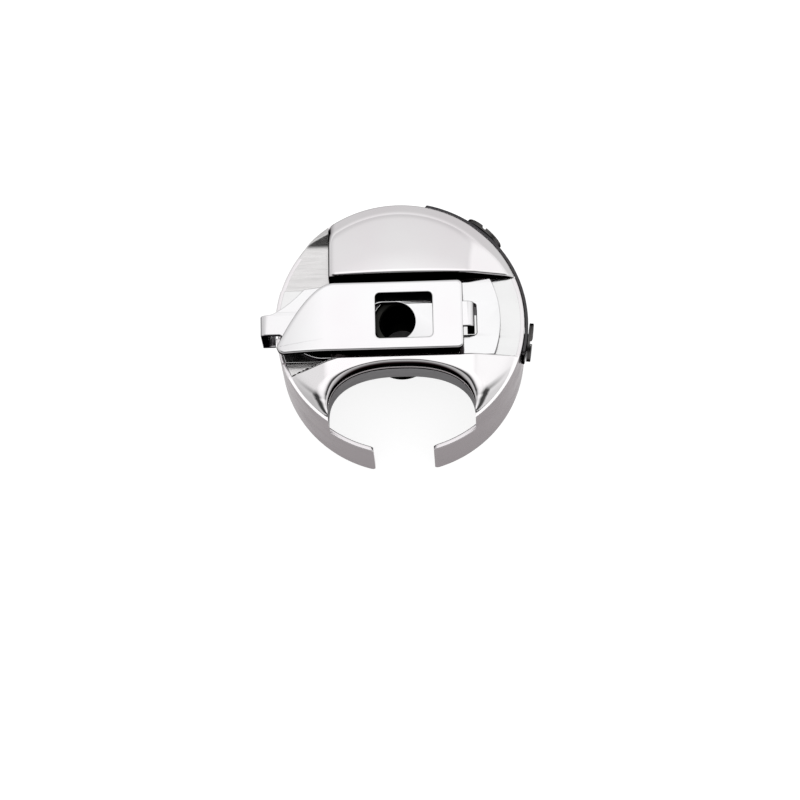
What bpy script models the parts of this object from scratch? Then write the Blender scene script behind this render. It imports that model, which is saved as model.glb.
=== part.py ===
"""A sewing machine's bobbin case, standing on its open rim.

The origin is where the bobbin's axis meets the rim plane. +Z runs up the axis to the latch, +X runs along
the latch towards its hinge, and the thread's tension spring wraps the wall on the +X, +Y side. The latch is
a slide in a channel across the head, with a lever hinged on it. The lever's tail reaches down through the
slide into a pocket in the head, so that lifting the lever draws the slide towards +X.
"""

import math

import bmesh
import bpy
from mathutils import Matrix, Vector

MM = 0.001

# Case
CASE_RADIUS = 13.5 * MM
CASE_WALL = 0.5 * MM
CAVITY_DEPTH = 8.8 * MM         # rim to the underside of the head
HEAD_WEB = 3.6 * MM             # underside of the head to the channel's floor
CROWN_HEIGHT = 3.45 * MM        # channel's floor to the top of the crown's sphere
CROWN_SPHERE = 46.0 * MM
CROWN_BEVEL = 1.7 * MM          # width of the slope between the crown and the wall
SHOULDER_RISE = 0.1 * MM        # channel's floor to the top of the wall
CHANNEL_LOW_GAP = 0.33 * MM      # lever's side to the channel's side by the arch
CHANNEL_HIGH_GAP = 0.93 * MM     # lever's side to the channel's other side
LOWER_BOSS_RISE = 2.0 * MM      # channel's floor to the flat top of the boss by the arch
LOWER_BOSS_FLAT = 8.0 * MM      # half-length of that flat
SIDE_SLOPE = 1.7 / 5.2          # fall of the lower boss's ends
BOSS_SLOPE_START = 7.4 * MM
BOSS_SLOPE = 0.4                # fall of the upper boss's hinge end
BOSS_SLOPE_DROP = 0.8 * MM      # crown's top to where the slope starts
FLARE_INSET = 0.6 * MM
BOSS_LEFT_X = -7.6 * MM         # where the upper boss ends above the recess
RECESS_LAP = 0.75 * MM          # how far the recess's floor reaches into the channel
RECESS_DROP = 0.4 * MM          # channel's floor to the recess's floor
FLARE_RISE = 2.2 * MM           # how far the lower boss's cut-back end opens

# Arch and arms
ARCH_HALF_WIDTH = 7.95 * MM
ARCH_BRIDGE = 0.85 * MM         # channel's side to the top of the arch
ARCH_CENTRE_Y = -10.0 * MM
ARCH_POWER = 2.4                # 2 is an ellipse, more is squarer
ARM_HEIGHT = 8.0 * MM
ARM_GAP = 6.6 * MM

# Openings in the wall
THREAD_SLIT_WIDTH = 0.6 * MM
THREAD_SLIT_ANGLE = 96.0
THREAD_PATH_ANGLE = 70.0        # where the slit ends under the tension spring
THREAD_PATH_TOP = 0.25 * MM     # head's underside to the slit's upper edge
FINGER_NOTCH_SIDE = 0.2 * MM    # clearance each side of the finger
FINGER_NOTCH_X = -12.3 * MM

# Centre tube
TUBE_RADIUS = 3.6 * MM
SPIGOT_RADIUS = 2.9 * MM
TUBE_BORE = 2.1 * MM
TUBE_RECESS = 2.6 * MM          # rim plane to the tube's end
TUBE_GAP = 0.05 * MM

# Slide
SLIDE_GAP = 0.05 * MM
SLIDE_THICKNESS = 0.75 * MM
SLIDE_END_RADIUS = 10.9 * MM    # hinge end, concentric with the case
SLIDE_SIDE_GAP = 0.12 * MM
SLIDE_NECK_Y = 4.25 * MM
SLIDE_SHOULDER_X = 7.2 * MM
SLIDE_SHOULDER_STEP = 0.4 * MM
NECK_LENGTH = 7.1 * MM          # finger's inner face to where the neck's edge starts to bend
NECK_BEND_X = 4.1 * MM
NECK_BEND_FALL = 0.35 * MM
NECK_SWEEP_X = 2.5 * MM
NECK_SWEEP_FALL = 2.0 * MM
FINGER_ROOT_X = 1.1 * MM
FINGER_ROOT_RISE = 0.45 * MM
TAPER_START = 1.3 * MM          # finger's inner face to the lower edge's taper
TAPER_END = 5.0 * MM
FINGER_GAP = 0.85 * MM          # case's wall to the finger at rest
FINGER_THICKNESS = 0.75 * MM
FINGER_LOW_Y = -1.15 * MM
FINGER_HIGH_Y = 1.1 * MM
FINGER_DROP = 4.2 * MM          # channel's floor to the finger's end
FINGER_TIP = 0.65 * MM          # length of the hooked tip
FINGER_TIP_THICKNESS = 0.55 * MM
SLOT_HALF_WIDTH = 2.15 * MM     # slot that the bobbin's post comes through
SLOT_LEFT_X = -3.85 * MM
SLOT_RIGHT_X = 1.7 * MM
SPRING_LUG_LEFT_X = -9.3 * MM
SPRING_LUG_LENGTH = 0.7 * MM
SPRING_LUG_WIDTH = 1.5 * MM
SPRING_LUG_DROP = 1.7 * MM

# Hinge
PIVOT_X = 6.0 * MM
PIVOT_RISE = 0.85 * MM          # slide's top face to the pin's axis
PIN_RADIUS = 0.4 * MM
PIN_GAP = 0.05 * MM
PIN_RECESS = 0.06 * MM          # pin's end to the lever's side
EAR_RADIUS = 0.6 * MM
EAR_THICKNESS = 0.8 * MM
EAR_GAP = 0.07 * MM
EAR_ROOT = 0.3 * MM

# Lever
LEVER_HALF_WIDTH = 3.82 * MM
LEVER_THICKNESS = 0.8 * MM
LEVER_RISE = 0.75 * MM          # pin's axis to the lever's underside
LEVER_FLANGE = 0.78 * MM
LEVER_HINGE_RADIUS = 0.72 * MM
LEVER_RIGHT = 0.9 * MM          # pin's axis to the lever's square end
LEVER_TIP_INSET = 1.1 * MM      # case's wall to the lever's tip, seen from above
LEVER_TIP_DROP = 1.1 * MM
LEVER_DROP_POWER = 1.6
LEVER_BEND_X = -8.0 * MM
SWEEP_LENGTH = 5.5 * MM         # tip's corner to the start of its sweep
SWEEP_PULL = 2.8 * MM
SWEEP_BULGE = 0.08 * MM
SWEEP_OVERHANG = 0.85 * MM
TIP_CORNER = 0.85 * MM
FLANGE_TAPER = 2.2 * MM
WINDOW_LEFT_X = -2.55 * MM
WINDOW_RIGHT_X = 3.6 * MM
WINDOW_LOW_Y = -2.55 * MM
WINDOW_HIGH_Y = 2.5 * MM
WINDOW_CORNER = 0.5 * MM
TAIL_HALF_WIDTH = 1.4 * MM
TAIL_INNER_X = 1.3 * MM         # pin's axis to the tail's inner face
TAIL_BEND = 0.2 * MM            # inner radius of the tail's bend
TAIL_DEPTH = 2.0 * MM           # pin's axis to the tail's end
TAIL_ROOT = 0.5 * MM            # how far the tail's solid reaches into the lever's end
FACE_INSET = 0.02 * MM          # keeps a joined solid's faces off the lever's own

# Pocket that the tail levers on
POCKET_GAP = 0.1 * MM           # tail's inner face to the pocket's edge
POCKET_SIDE_GAP = 0.35 * MM
POCKET_DEPTH = 1.8 * MM
POCKET_UNDERCUT = 1.1 * MM
POCKET_LIP = 0.4 * MM
POCKET_RIGHT_GAP = 0.6 * MM
TAIL_SLOT_LEFT_X = 5.6 * MM
TAIL_SLOT_GAP = 0.2 * MM

# Return spring under the slide
COIL_RADIUS = 0.72 * MM
WIRE_RADIUS = 0.14 * MM
COIL_TURNS = 8
COIL_SEAT_GAP = 0.05 * MM
GROOVE_GAP = 0.14 * MM
GROOVE_END_GAP = 0.1 * MM
GROOVE_RIGHT_X = -3.7 * MM

# Tension spring and its screws
SCREW_CHAMFER = 0.12 * MM
LEAF_THICKNESS = 0.35 * MM
LEAF_GAP = 0.06 * MM
LEAF_WIDTH = 4.4 * MM
LEAF_TONGUE = 2.2 * MM
LEAF_START = -16.0
LEAF_END = 88.0
LEAF_TONGUE_START = 78.0
SCREW_RISE = 1.1 * MM           # head's underside to the screws' axes
FIXING_ANGLE = -7.5
TENSION_ANGLE = 48.75
FIXING_HEAD_RADIUS = 2.1 * MM
TENSION_HEAD_RADIUS = 2.3 * MM
SCREW_HEAD = 0.45 * MM
SCREW_SHANK = 0.9 * MM
SCREW_LENGTH = 2.4 * MM         # under the head
SCREW_SLOT_WIDTH = 0.5 * MM
SCREW_SLOT_DEPTH = 0.25 * MM
SCREW_GAP = 0.12 * MM
HEAD_GAP = 0.05 * MM

# Facets
CASE_STEPS = 96
TUBE_STEPS = 48
PIN_STEPS = 16
SCREW_STEPS = 32
CROWN_STEPS = 5
COIL_STEPS = 10
OVERCUT = 1.0 * MM              # how far a cutter runs past what it cuts
REACH = 2.0 * CASE_RADIUS       # longer than anything that a cutter crosses

# Levels and places that the sizes above lead to
CHANNEL_Z = CAVITY_DEPTH + HEAD_WEB
SHOULDER_Z = CHANNEL_Z + SHOULDER_RISE
CHANNEL_LOW_Y = -LEVER_HALF_WIDTH - CHANNEL_LOW_GAP
CHANNEL_HIGH_Y = LEVER_HALF_WIDTH + CHANNEL_HIGH_GAP
RECESS_LOW_Y = CHANNEL_HIGH_Y - RECESS_LAP
ARCH_TOP_Y = CHANNEL_LOW_Y - ARCH_BRIDGE
SLIDE_Z = CHANNEL_Z + SLIDE_GAP
SLIDE_TOP_Z = SLIDE_Z + SLIDE_THICKNESS
PIVOT_Z = SLIDE_TOP_Z + PIVOT_RISE
SCREW_Z = CAVITY_DEPTH + SCREW_RISE
LEAF_INNER = CASE_RADIUS + LEAF_GAP
LEAF_OUTER = LEAF_INNER + LEAF_THICKNESS
FINGER_X = -(CASE_RADIUS + FINGER_GAP)
TAIL_X = PIVOT_X + TAIL_INNER_X
TAIL_OUTER_X = TAIL_X + LEVER_THICKNESS
SPRING_LUG_X = SPRING_LUG_LEFT_X + SPRING_LUG_LENGTH


def clear_scene():
    for obj in list(bpy.data.objects):
        bpy.data.objects.remove(obj, do_unlink=True)


def new_collection(name):
    collection = bpy.data.collections.new(name)
    bpy.context.scene.collection.children.link(collection)
    return collection


clear_scene()
PARTS = new_collection("bobbin_case")
CUTTERS = new_collection("cutters")


def paint(obj, colour, roughness):
    """Gives a part its own metal."""
    material = bpy.data.materials.new(obj.name + "_metal")
    material.use_nodes = True
    shader = material.node_tree.nodes["Principled BSDF"]
    shader.inputs["Base Color"].default_value = (*colour, 1.0)
    shader.inputs["Metallic"].default_value = 1.0
    shader.inputs["Roughness"].default_value = roughness
    obj.data.materials.append(material)


def add_part(name, mesh, parent=None):
    obj = bpy.data.objects.new(name, mesh)
    PARTS.objects.link(obj)
    obj.parent = parent
    return obj


def add_cutter(name, mesh, parent=None):
    obj = bpy.data.objects.new(name, mesh)
    CUTTERS.objects.link(obj)
    obj.parent = parent
    obj.hide_render = True
    obj.display_type = "WIRE"
    return obj


def add_empty(name, place, parent=None):
    empty = bpy.data.objects.new(name, None)
    PARTS.objects.link(empty)
    empty.parent = parent
    empty.location = place
    empty.empty_display_size = TUBE_RADIUS
    return empty


def combine(obj, other, operation="DIFFERENCE"):
    """Cuts a part by another solid, or joins or crosses it with one."""
    step = obj.modifiers.new(other.name, "BOOLEAN")
    step.operation = operation
    step.object = other
    step.solver = "EXACT"
    return obj


def arc(centre_x, centre_y, radius, start, end, steps):
    """Points on a circle from one angle to another, in degrees."""
    angles = [math.radians(start + (end - start) * i / steps) for i in range(steps + 1)]
    return [(centre_x + radius * math.cos(a), centre_y + radius * math.sin(a)) for a in angles]


def turned(name, profile):
    """A mesh outline of (radius, height) points in the XZ plane, closed where it leaves the axis."""
    count = len(profile)
    edges = [(i, i + 1) for i in range(count - 1)]
    if profile[0][0] > 0:
        edges.append((count - 1, 0))
    mesh = bpy.data.meshes.new(name)
    mesh.from_pydata([(radius, 0, height) for radius, height in profile], edges, [])
    return mesh


def turn(obj, steps):
    """Turns an object's outline about its own Z."""
    screw = obj.modifiers.new("turn", "SCREW")
    screw.axis = "Z"
    screw.angle = 2 * math.pi
    screw.steps = steps
    screw.render_steps = steps
    screw.use_merge_vertices = True
    screw.merge_threshold = 0.001 * MM
    screw.use_smooth_shade = True
    return obj


def box_mesh(name, low, high):
    """A box between two corners."""
    low, high = Vector(low), Vector(high)
    mesh = bpy.data.meshes.new(name)
    shape = bmesh.new()
    scale = Matrix.Diagonal((*(high - low), 1.0))
    bmesh.ops.create_cube(shape, size=1.0, matrix=Matrix.Translation((low + high) / 2) @ scale)
    shape.to_mesh(mesh)
    shape.free()
    return mesh


def rod_mesh(name, radius, length, steps, frame):
    """A cylinder from a frame's origin along its Z."""
    mesh = bpy.data.meshes.new(name)
    shape = bmesh.new()
    bmesh.ops.create_cone(shape, cap_ends=True, segments=steps, radius1=radius, radius2=radius, depth=length,
                          matrix=frame @ Matrix.Translation((0, 0, length / 2)))
    shape.to_mesh(mesh)
    shape.free()
    return mesh


def curve_mesh(name, curve):
    """A curve's own solid as a closed mesh."""
    holder = bpy.data.objects.new(name + "_curve", curve)
    CUTTERS.objects.link(holder)
    bpy.context.view_layer.update()
    evaluated = holder.evaluated_get(bpy.context.evaluated_depsgraph_get())
    mesh = bpy.data.meshes.new_from_object(evaluated)
    mesh.name = name
    shape = bmesh.new()
    shape.from_mesh(mesh)
    bmesh.ops.remove_doubles(shape, verts=shape.verts, dist=0.0005 * MM)
    shape.to_mesh(mesh)
    shape.free()
    bpy.data.objects.remove(holder, do_unlink=True)
    return mesh


def plate_mesh(name, outlines, low, high):
    """A flat outline, and the outlines of its holes, extruded from one height to another along Z."""
    curve = bpy.data.curves.new(name, "CURVE")
    curve.dimensions = "2D"
    curve.fill_mode = "BOTH"
    curve.extrude = (high - low) / 2
    for outline in outlines:
        spline = curve.splines.new("POLY")
        spline.points.add(len(outline) - 1)
        for point, (x, y) in zip(spline.points, outline):
            point.co = (x, y, 0, 1)
        spline.use_cyclic_u = True
    mesh = curve_mesh(name, curve)
    mesh.transform(Matrix.Translation((0, 0, (low + high) / 2)))
    return mesh


def side_mesh(name, outline, low_y, high_y):
    """An outline of (x, z) points extruded from one Y to another."""
    mesh = plate_mesh(name, [outline], -high_y, -low_y)
    mesh.transform(Matrix.Rotation(math.radians(90), 4, "X"))
    return mesh


def sector_mesh(name, start, end, low, high):
    """A wedge about the case's axis, between two angles in degrees and two heights."""
    outline = [(0, 0)] + arc(0, 0, REACH, start, end, 6)
    return plate_mesh(name, [outline], low, high)


def radial_frame(angle, height):
    """A frame on the case's axis whose Z points out through the wall."""
    turn_out = Matrix.Rotation(math.radians(90), 4, "Y")
    return Matrix.Rotation(math.radians(angle), 4, "Z") @ Matrix.Translation((0, 0, height)) @ turn_out


def arch_outline():
    """A superellipse's upper half, with straight sides run down past the case."""
    points = []
    steps = 24
    for i in range(steps + 1):
        angle = math.pi * i / steps
        side = math.copysign(abs(math.cos(angle)) ** (2 / ARCH_POWER), math.cos(angle))
        rise = math.sin(angle) ** (2 / ARCH_POWER)
        points.append((ARCH_HALF_WIDTH * side, ARCH_CENTRE_Y + (ARCH_TOP_Y - ARCH_CENTRE_Y) * rise))
    return [(ARCH_HALF_WIDTH, -REACH)] + points + [(-ARCH_HALF_WIDTH, -REACH)]


def case_profile():
    """Down the crown, the bevel and the wall, then up inside to the axis."""
    top = CHANNEL_Z + CROWN_HEIGHT
    crown = []
    for i in range(CROWN_STEPS + 1):
        radius = (CASE_RADIUS - CROWN_BEVEL) * i / CROWN_STEPS
        crown.append((radius, top - CROWN_SPHERE + math.sqrt(CROWN_SPHERE ** 2 - radius ** 2)))
    inner = CASE_RADIUS - CASE_WALL
    wall = [(CASE_RADIUS, SHOULDER_Z), (CASE_RADIUS, 0), (inner, 0), (inner, CAVITY_DEPTH)]
    return crown + wall + [(0, CAVITY_DEPTH)]


def head_cutters():
    """What shapes the head: its channel, bosses, slopes and recess."""
    high = CHANNEL_Z + CROWN_HEIGHT + OVERCUT
    channel = box_mesh("channel", (-REACH, CHANNEL_LOW_Y, CHANNEL_Z), (REACH, CHANNEL_HIGH_Y, high))
    recess = box_mesh("recess", (-REACH, RECESS_LOW_Y, CHANNEL_Z - RECESS_DROP), (BOSS_LEFT_X, REACH, high))
    boss_top = CHANNEL_Z + LOWER_BOSS_RISE
    fall = (REACH - LOWER_BOSS_FLAT) * SIDE_SLOPE
    roof = [(-LOWER_BOSS_FLAT, boss_top), (LOWER_BOSS_FLAT, boss_top), (REACH, boss_top - fall),
            (REACH, high + OVERCUT), (-REACH, high + OVERCUT), (-REACH, boss_top - fall)]
    lower_boss = side_mesh("lower_boss_roof", roof, -REACH, CHANNEL_LOW_Y + SLIDE_SIDE_GAP)
    slope_top = CHANNEL_Z + CROWN_HEIGHT - BOSS_SLOPE_DROP
    slope = [(BOSS_SLOPE_START, slope_top), (REACH, slope_top - (REACH - BOSS_SLOPE_START) * BOSS_SLOPE),
             (REACH, high + OVERCUT), (BOSS_SLOPE_START - OVERCUT / BOSS_SLOPE, high + OVERCUT)]
    upper_slope = side_mesh("upper_boss_slope", slope, CHANNEL_HIGH_Y - SLIDE_SIDE_GAP, REACH)
    start = BOSS_LEFT_X + FLARE_INSET
    flare = [(start, CHANNEL_LOW_Y + SLIDE_SIDE_GAP), (-CASE_RADIUS, CHANNEL_LOW_Y - FLARE_RISE),
             (-REACH, CHANNEL_LOW_Y - FLARE_RISE), (-REACH, CHANNEL_LOW_Y + OVERCUT),
             (start, CHANNEL_LOW_Y + OVERCUT)]
    lower_flare = plate_mesh("lower_flare", [flare], CHANNEL_Z - RECESS_DROP, high)
    return [channel, recess, lower_boss, upper_slope, lower_flare]


def wall_cutters():
    """What opens the wall: the arch, the gap between the arms, the thread's slit and the finger's notch."""
    high = CHANNEL_Z + CROWN_HEIGHT + OVERCUT
    arch = plate_mesh("arch", [arch_outline()], ARM_HEIGHT, high)
    arm_gap = box_mesh("arm_gap", (-ARM_GAP / 2, -REACH, -OVERCUT), (ARM_GAP / 2, 0, ARM_HEIGHT + OVERCUT))
    slit_top = CAVITY_DEPTH - THREAD_PATH_TOP
    slit = box_mesh("thread_slit", (CASE_RADIUS / 2, -THREAD_SLIT_WIDTH / 2, -OVERCUT),
                    (REACH, THREAD_SLIT_WIDTH / 2, slit_top))
    slit.transform(Matrix.Rotation(math.radians(THREAD_SLIT_ANGLE), 4, "Z"))
    path = sector_mesh("thread_path", THREAD_PATH_ANGLE, THREAD_SLIT_ANGLE, slit_top - THREAD_SLIT_WIDTH, slit_top)
    notch = box_mesh("finger_notch",
                     (-REACH, FINGER_LOW_Y - FINGER_NOTCH_SIDE, CHANNEL_Z - FINGER_DROP - FINGER_NOTCH_SIDE),
                     (FINGER_NOTCH_X, FINGER_HIGH_Y + FINGER_NOTCH_SIDE, SHOULDER_Z + OVERCUT))
    return [arch, arm_gap, slit, path, notch]


def mechanism_cutters():
    """What takes the tube, the return spring, the lever's tail and the screws."""
    bore = rod_mesh("tube_bore", SPIGOT_RADIUS + TUBE_GAP, HEAD_WEB + 2 * OVERCUT, TUBE_STEPS,
                    Matrix.Translation((0, 0, CAVITY_DEPTH - OVERCUT)))
    half = COIL_RADIUS + WIRE_RADIUS + GROOVE_GAP
    groove = box_mesh("spring_groove", (SPRING_LUG_LEFT_X - GROOVE_END_GAP, -half, CHANNEL_Z - 2 * half),
                      (GROOVE_RIGHT_X, half, CHANNEL_Z + OVERCUT))
    edge = TAIL_X - POCKET_GAP
    right = TAIL_OUTER_X + POCKET_RIGHT_GAP
    bottom = CHANNEL_Z - POCKET_DEPTH
    outline = [(edge, CHANNEL_Z), (edge - POCKET_UNDERCUT, CHANNEL_Z - POCKET_LIP), (edge - POCKET_UNDERCUT, bottom),
               (right, bottom), (right, CHANNEL_Z + OVERCUT), (edge, CHANNEL_Z + OVERCUT)]
    reach_y = TAIL_HALF_WIDTH + POCKET_SIDE_GAP
    pocket = side_mesh("tail_pocket", outline, -reach_y, reach_y)
    depth = SCREW_LENGTH + SCREW_GAP
    holes = []
    for name, angle in (("fixing_hole", FIXING_ANGLE), ("tension_hole", TENSION_ANGLE)):
        start = Matrix.Translation((0, 0, LEAF_OUTER + HEAD_GAP - depth))
        frame = radial_frame(angle, SCREW_Z) @ start
        holes.append(rod_mesh(name, SCREW_SHANK + SCREW_GAP, depth + OVERCUT, SCREW_STEPS, frame))
    return [bore, groove, pocket] + holes


def make_case():
    """The turned cup with everything cut from it."""
    mesh = turned("case_body", case_profile())
    case = turn(add_part("case_body", mesh), CASE_STEPS)
    for mesh in head_cutters() + wall_cutters() + mechanism_cutters():
        combine(case, add_cutter(mesh.name, mesh))
    paint(case, (0.78, 0.78, 0.79), 0.15)


def make_tube():
    """The post that the bobbin turns on, with a spigot fixed in the head."""
    shoulder = CAVITY_DEPTH - TUBE_GAP
    top = CHANNEL_Z - TUBE_GAP
    profile = [(SPIGOT_RADIUS, top), (SPIGOT_RADIUS, shoulder), (TUBE_RADIUS, shoulder), (TUBE_RADIUS, TUBE_RECESS),
               (TUBE_BORE, TUBE_RECESS), (TUBE_BORE, top)]
    mesh = turned("centre_tube", profile)
    paint(turn(add_part("centre_tube", mesh), TUBE_STEPS), (0.7, 0.7, 0.71), 0.25)


def slide_outline():
    """A plate as wide as the channel, with a round hinge end, narrowing to the finger."""
    low = CHANNEL_LOW_Y + SLIDE_SIDE_GAP
    high = CHANNEL_HIGH_Y - SLIDE_SIDE_GAP
    start = math.degrees(math.asin(low / SLIDE_END_RADIUS))
    end = math.degrees(math.asin(high / SLIDE_END_RADIUS))
    left = FINGER_X - FINGER_THICKNESS - OVERCUT
    upper = [(SLIDE_SHOULDER_X, high), (SLIDE_SHOULDER_X - SLIDE_SHOULDER_STEP, SLIDE_NECK_Y),
             (FINGER_X + NECK_LENGTH, SLIDE_NECK_Y), (FINGER_X + NECK_BEND_X, SLIDE_NECK_Y - NECK_BEND_FALL),
             (FINGER_X + NECK_SWEEP_X, SLIDE_NECK_Y - NECK_SWEEP_FALL),
             (FINGER_X + FINGER_ROOT_X, FINGER_HIGH_Y + FINGER_ROOT_RISE), (FINGER_X, FINGER_HIGH_Y),
             (left, FINGER_HIGH_Y)]
    lower = [(left, FINGER_LOW_Y), (FINGER_X + TAPER_START, FINGER_LOW_Y), (FINGER_X + TAPER_END, low)]
    return arc(0, 0, SLIDE_END_RADIUS, start, end, 16) + upper + lower


def post_slot_outline():
    """The slot in the slide, round at both ends."""
    left = SLOT_LEFT_X + SLOT_HALF_WIDTH
    right = SLOT_RIGHT_X - SLOT_HALF_WIDTH
    return arc(left, 0, SLOT_HALF_WIDTH, 90, 270, 12) + arc(right, 0, SLOT_HALF_WIDTH, -90, 90, 12)


def tail_slot_outline():
    half = TAIL_HALF_WIDTH + POCKET_SIDE_GAP
    right = TAIL_OUTER_X + TAIL_SLOT_GAP
    return [(TAIL_SLOT_LEFT_X, -half), (right, -half), (right, half), (TAIL_SLOT_LEFT_X, half)]


def slide_side():
    """The slide from the side: flat, then bent down outside the wall to a short hooked tip."""
    right = SLIDE_END_RADIUS + OVERCUT
    outer = FINGER_X - FINGER_THICKNESS
    tip = FINGER_X + FINGER_TIP
    bottom = CHANNEL_Z - FINGER_DROP
    bend = arc(FINGER_X, SLIDE_TOP_Z - FINGER_THICKNESS, FINGER_THICKNESS, 90, 180, 6)
    hook = [(outer, bottom), (tip, bottom), (tip, bottom + FINGER_TIP_THICKNESS),
            (FINGER_X, bottom + FINGER_TIP_THICKNESS), (FINGER_X, SLIDE_Z)]
    return [(right, SLIDE_Z), (right, SLIDE_TOP_Z)] + bend + hook


def ear_outline():
    """One of the slide's hinge ears from the side."""
    round_top = arc(PIVOT_X, PIVOT_Z, EAR_RADIUS, 0, 180, 10)
    foot = SLIDE_TOP_Z - EAR_ROOT
    return round_top + [(PIVOT_X - EAR_RADIUS, foot), (PIVOT_X + EAR_RADIUS, foot)]


def make_slide(travel):
    """The plate that locks the case on the hook's post, with its finger, ears and spring lug."""
    side = side_mesh("latch_slide", slide_side(), -CASE_RADIUS, CASE_RADIUS)
    slide = add_part("latch_slide", side, travel)
    outlines = [slide_outline(), post_slot_outline(), tail_slot_outline()]
    cut = plate_mesh("slide_outline", outlines, CHANNEL_Z - FINGER_DROP - OVERCUT, SLIDE_TOP_Z + OVERCUT)
    combine(slide, add_cutter("slide_outline", cut, travel), "INTERSECT")
    outer = LEVER_HALF_WIDTH - LEVER_FLANGE - EAR_GAP
    inner = outer - EAR_THICKNESS
    for name, low, high in (("ear_low", -outer, -inner), ("ear_high", inner, outer)):
        combine(slide, add_cutter(name, side_mesh(name, ear_outline(), low, high), travel), "UNION")
    lug = box_mesh("spring_lug", (SPRING_LUG_LEFT_X, -SPRING_LUG_WIDTH / 2, SLIDE_Z - SPRING_LUG_DROP),
                   (SPRING_LUG_X, SPRING_LUG_WIDTH / 2, SLIDE_Z + SLIDE_THICKNESS / 2))
    combine(slide, add_cutter("spring_lug", lug, travel), "UNION")
    combine(slide, add_cutter("slide_pin_hole", pin_mesh("slide_pin_hole", PIN_GAP, OVERCUT), travel))
    paint(slide, (0.8, 0.8, 0.81), 0.12)


def pin_mesh(name, gap, extra, centre=(PIVOT_X, 0, PIVOT_Z)):
    """A rod on the hinge's axis, wider than the pin by a gap and longer by an extra length."""
    half = LEVER_HALF_WIDTH - PIN_RECESS + extra
    lie = Matrix.Rotation(math.radians(-90), 4, "X")
    frame = Matrix.Translation((centre[0], centre[1] - half, centre[2])) @ lie
    return rod_mesh(name, PIN_RADIUS + gap, 2 * half, PIN_STEPS, frame)


def lever_outline():
    """The lever from above, about the pin: square at the hinge, with a swept, rounded tip."""
    tip_x = -(CASE_RADIUS - LEVER_TIP_INSET) - PIVOT_X
    half = LEVER_HALF_WIDTH
    start = Vector((tip_x + SWEEP_LENGTH, half))
    pull = Vector((tip_x + SWEEP_PULL, half + SWEEP_BULGE))
    end = Vector((tip_x - SWEEP_OVERHANG, TIP_CORNER - half))
    sweep = []
    for i in range(13):
        t = i / 12
        point = start * (1 - t) ** 2 + pull * 2 * t * (1 - t) + end * t ** 2
        sweep.append((point.x, point.y))
    corner = arc(tip_x, TIP_CORNER - half, TIP_CORNER, 200, 270, 4)
    return [(LEVER_RIGHT, -half), (LEVER_RIGHT, half)] + sweep + corner


def lever_side():
    """The lever's top from the side, about the pin: flat, then bent down at its tip."""
    left = -(CASE_RADIUS + OVERCUT) - PIVOT_X
    bend = LEVER_BEND_X - PIVOT_X
    reach = left - bend
    top = []
    for i in range(9):
        t = i / 8
        top.append((bend + reach * t, LEVER_RISE + LEVER_THICKNESS - LEVER_TIP_DROP * t ** LEVER_DROP_POWER))
    under = [(x, z - LEVER_THICKNESS) for x, z in reversed(top)]
    right = LEVER_RIGHT + OVERCUT
    return [(right, LEVER_RISE + LEVER_THICKNESS)] + top + under + [(right, LEVER_RISE)]


def window_outline():
    """The window over the slide's slot, with rounded corners."""
    low_x = WINDOW_LEFT_X - PIVOT_X + WINDOW_CORNER
    high_x = WINDOW_RIGHT_X - PIVOT_X - WINDOW_CORNER
    low_y = WINDOW_LOW_Y + WINDOW_CORNER
    high_y = WINDOW_HIGH_Y - WINDOW_CORNER
    return (arc(high_x, high_y, WINDOW_CORNER, 0, 90, 4) + arc(low_x, high_y, WINDOW_CORNER, 90, 180, 4)
            + arc(low_x, low_y, WINDOW_CORNER, 180, 270, 4) + arc(high_x, low_y, WINDOW_CORNER, 270, 360, 4))


def flange_outline():
    """One of the lever's sides, about the pin: a straight lower edge that is round at the hinge."""
    reach = LEVER_BEND_X - PIVOT_X
    top = LEVER_RISE + LEVER_THICKNESS / 2
    low = arc(0, 0, LEVER_HINGE_RADIUS, 270, 360, 6)
    return low + [(LEVER_HINGE_RADIUS, top), (reach, top), (reach + FLANGE_TAPER, -LEVER_HINGE_RADIUS)]


def tail_outline():
    """The tail from the side, about the pin: out of the lever's end and down past the pin."""
    outer = TAIL_INNER_X + LEVER_THICKNESS
    bend_x = TAIL_INNER_X - TAIL_BEND
    bend_z = LEVER_RISE - TAIL_BEND
    top = LEVER_RISE + LEVER_THICKNESS
    start = LEVER_RIGHT - TAIL_ROOT
    outside = arc(bend_x, bend_z, TAIL_BEND + LEVER_THICKNESS, 90, 0, 6)
    inside = arc(bend_x, bend_z, TAIL_BEND, 0, 90, 3)
    return ([(start, top - FACE_INSET)] + outside + [(outer, -TAIL_DEPTH), (TAIL_INNER_X, -TAIL_DEPTH)]
            + inside + [(start, LEVER_RISE + FACE_INSET)])


def make_lever(pivot):
    """The lever that is lifted to free the case: a channel of sheet with a window and a tail."""
    side = side_mesh("latch_lever", lever_side(), -2 * LEVER_HALF_WIDTH, 2 * LEVER_HALF_WIDTH)
    lever = add_part("latch_lever", side, pivot)
    outlines = [lever_outline(), window_outline()]
    cut = plate_mesh("lever_outline", outlines, -TAIL_DEPTH, LEVER_RISE + LEVER_THICKNESS + OVERCUT)
    combine(lever, add_cutter("lever_outline", cut, pivot), "INTERSECT")
    outer = LEVER_HALF_WIDTH - FACE_INSET
    inner = LEVER_HALF_WIDTH - LEVER_FLANGE
    for name, low, high in (("flange_low", -outer, -inner), ("flange_high", inner, outer)):
        combine(lever, add_cutter(name, side_mesh(name, flange_outline(), low, high), pivot), "UNION")
    tail = side_mesh("tail", tail_outline(), -TAIL_HALF_WIDTH, TAIL_HALF_WIDTH)
    combine(lever, add_cutter("tail", tail, pivot), "UNION")
    hole = pin_mesh("lever_pin_hole", PIN_GAP, OVERCUT, (0, 0, 0))
    combine(lever, add_cutter("lever_pin_hole", hole, pivot))
    paint(lever, (0.85, 0.85, 0.86), 0.08)


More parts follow.
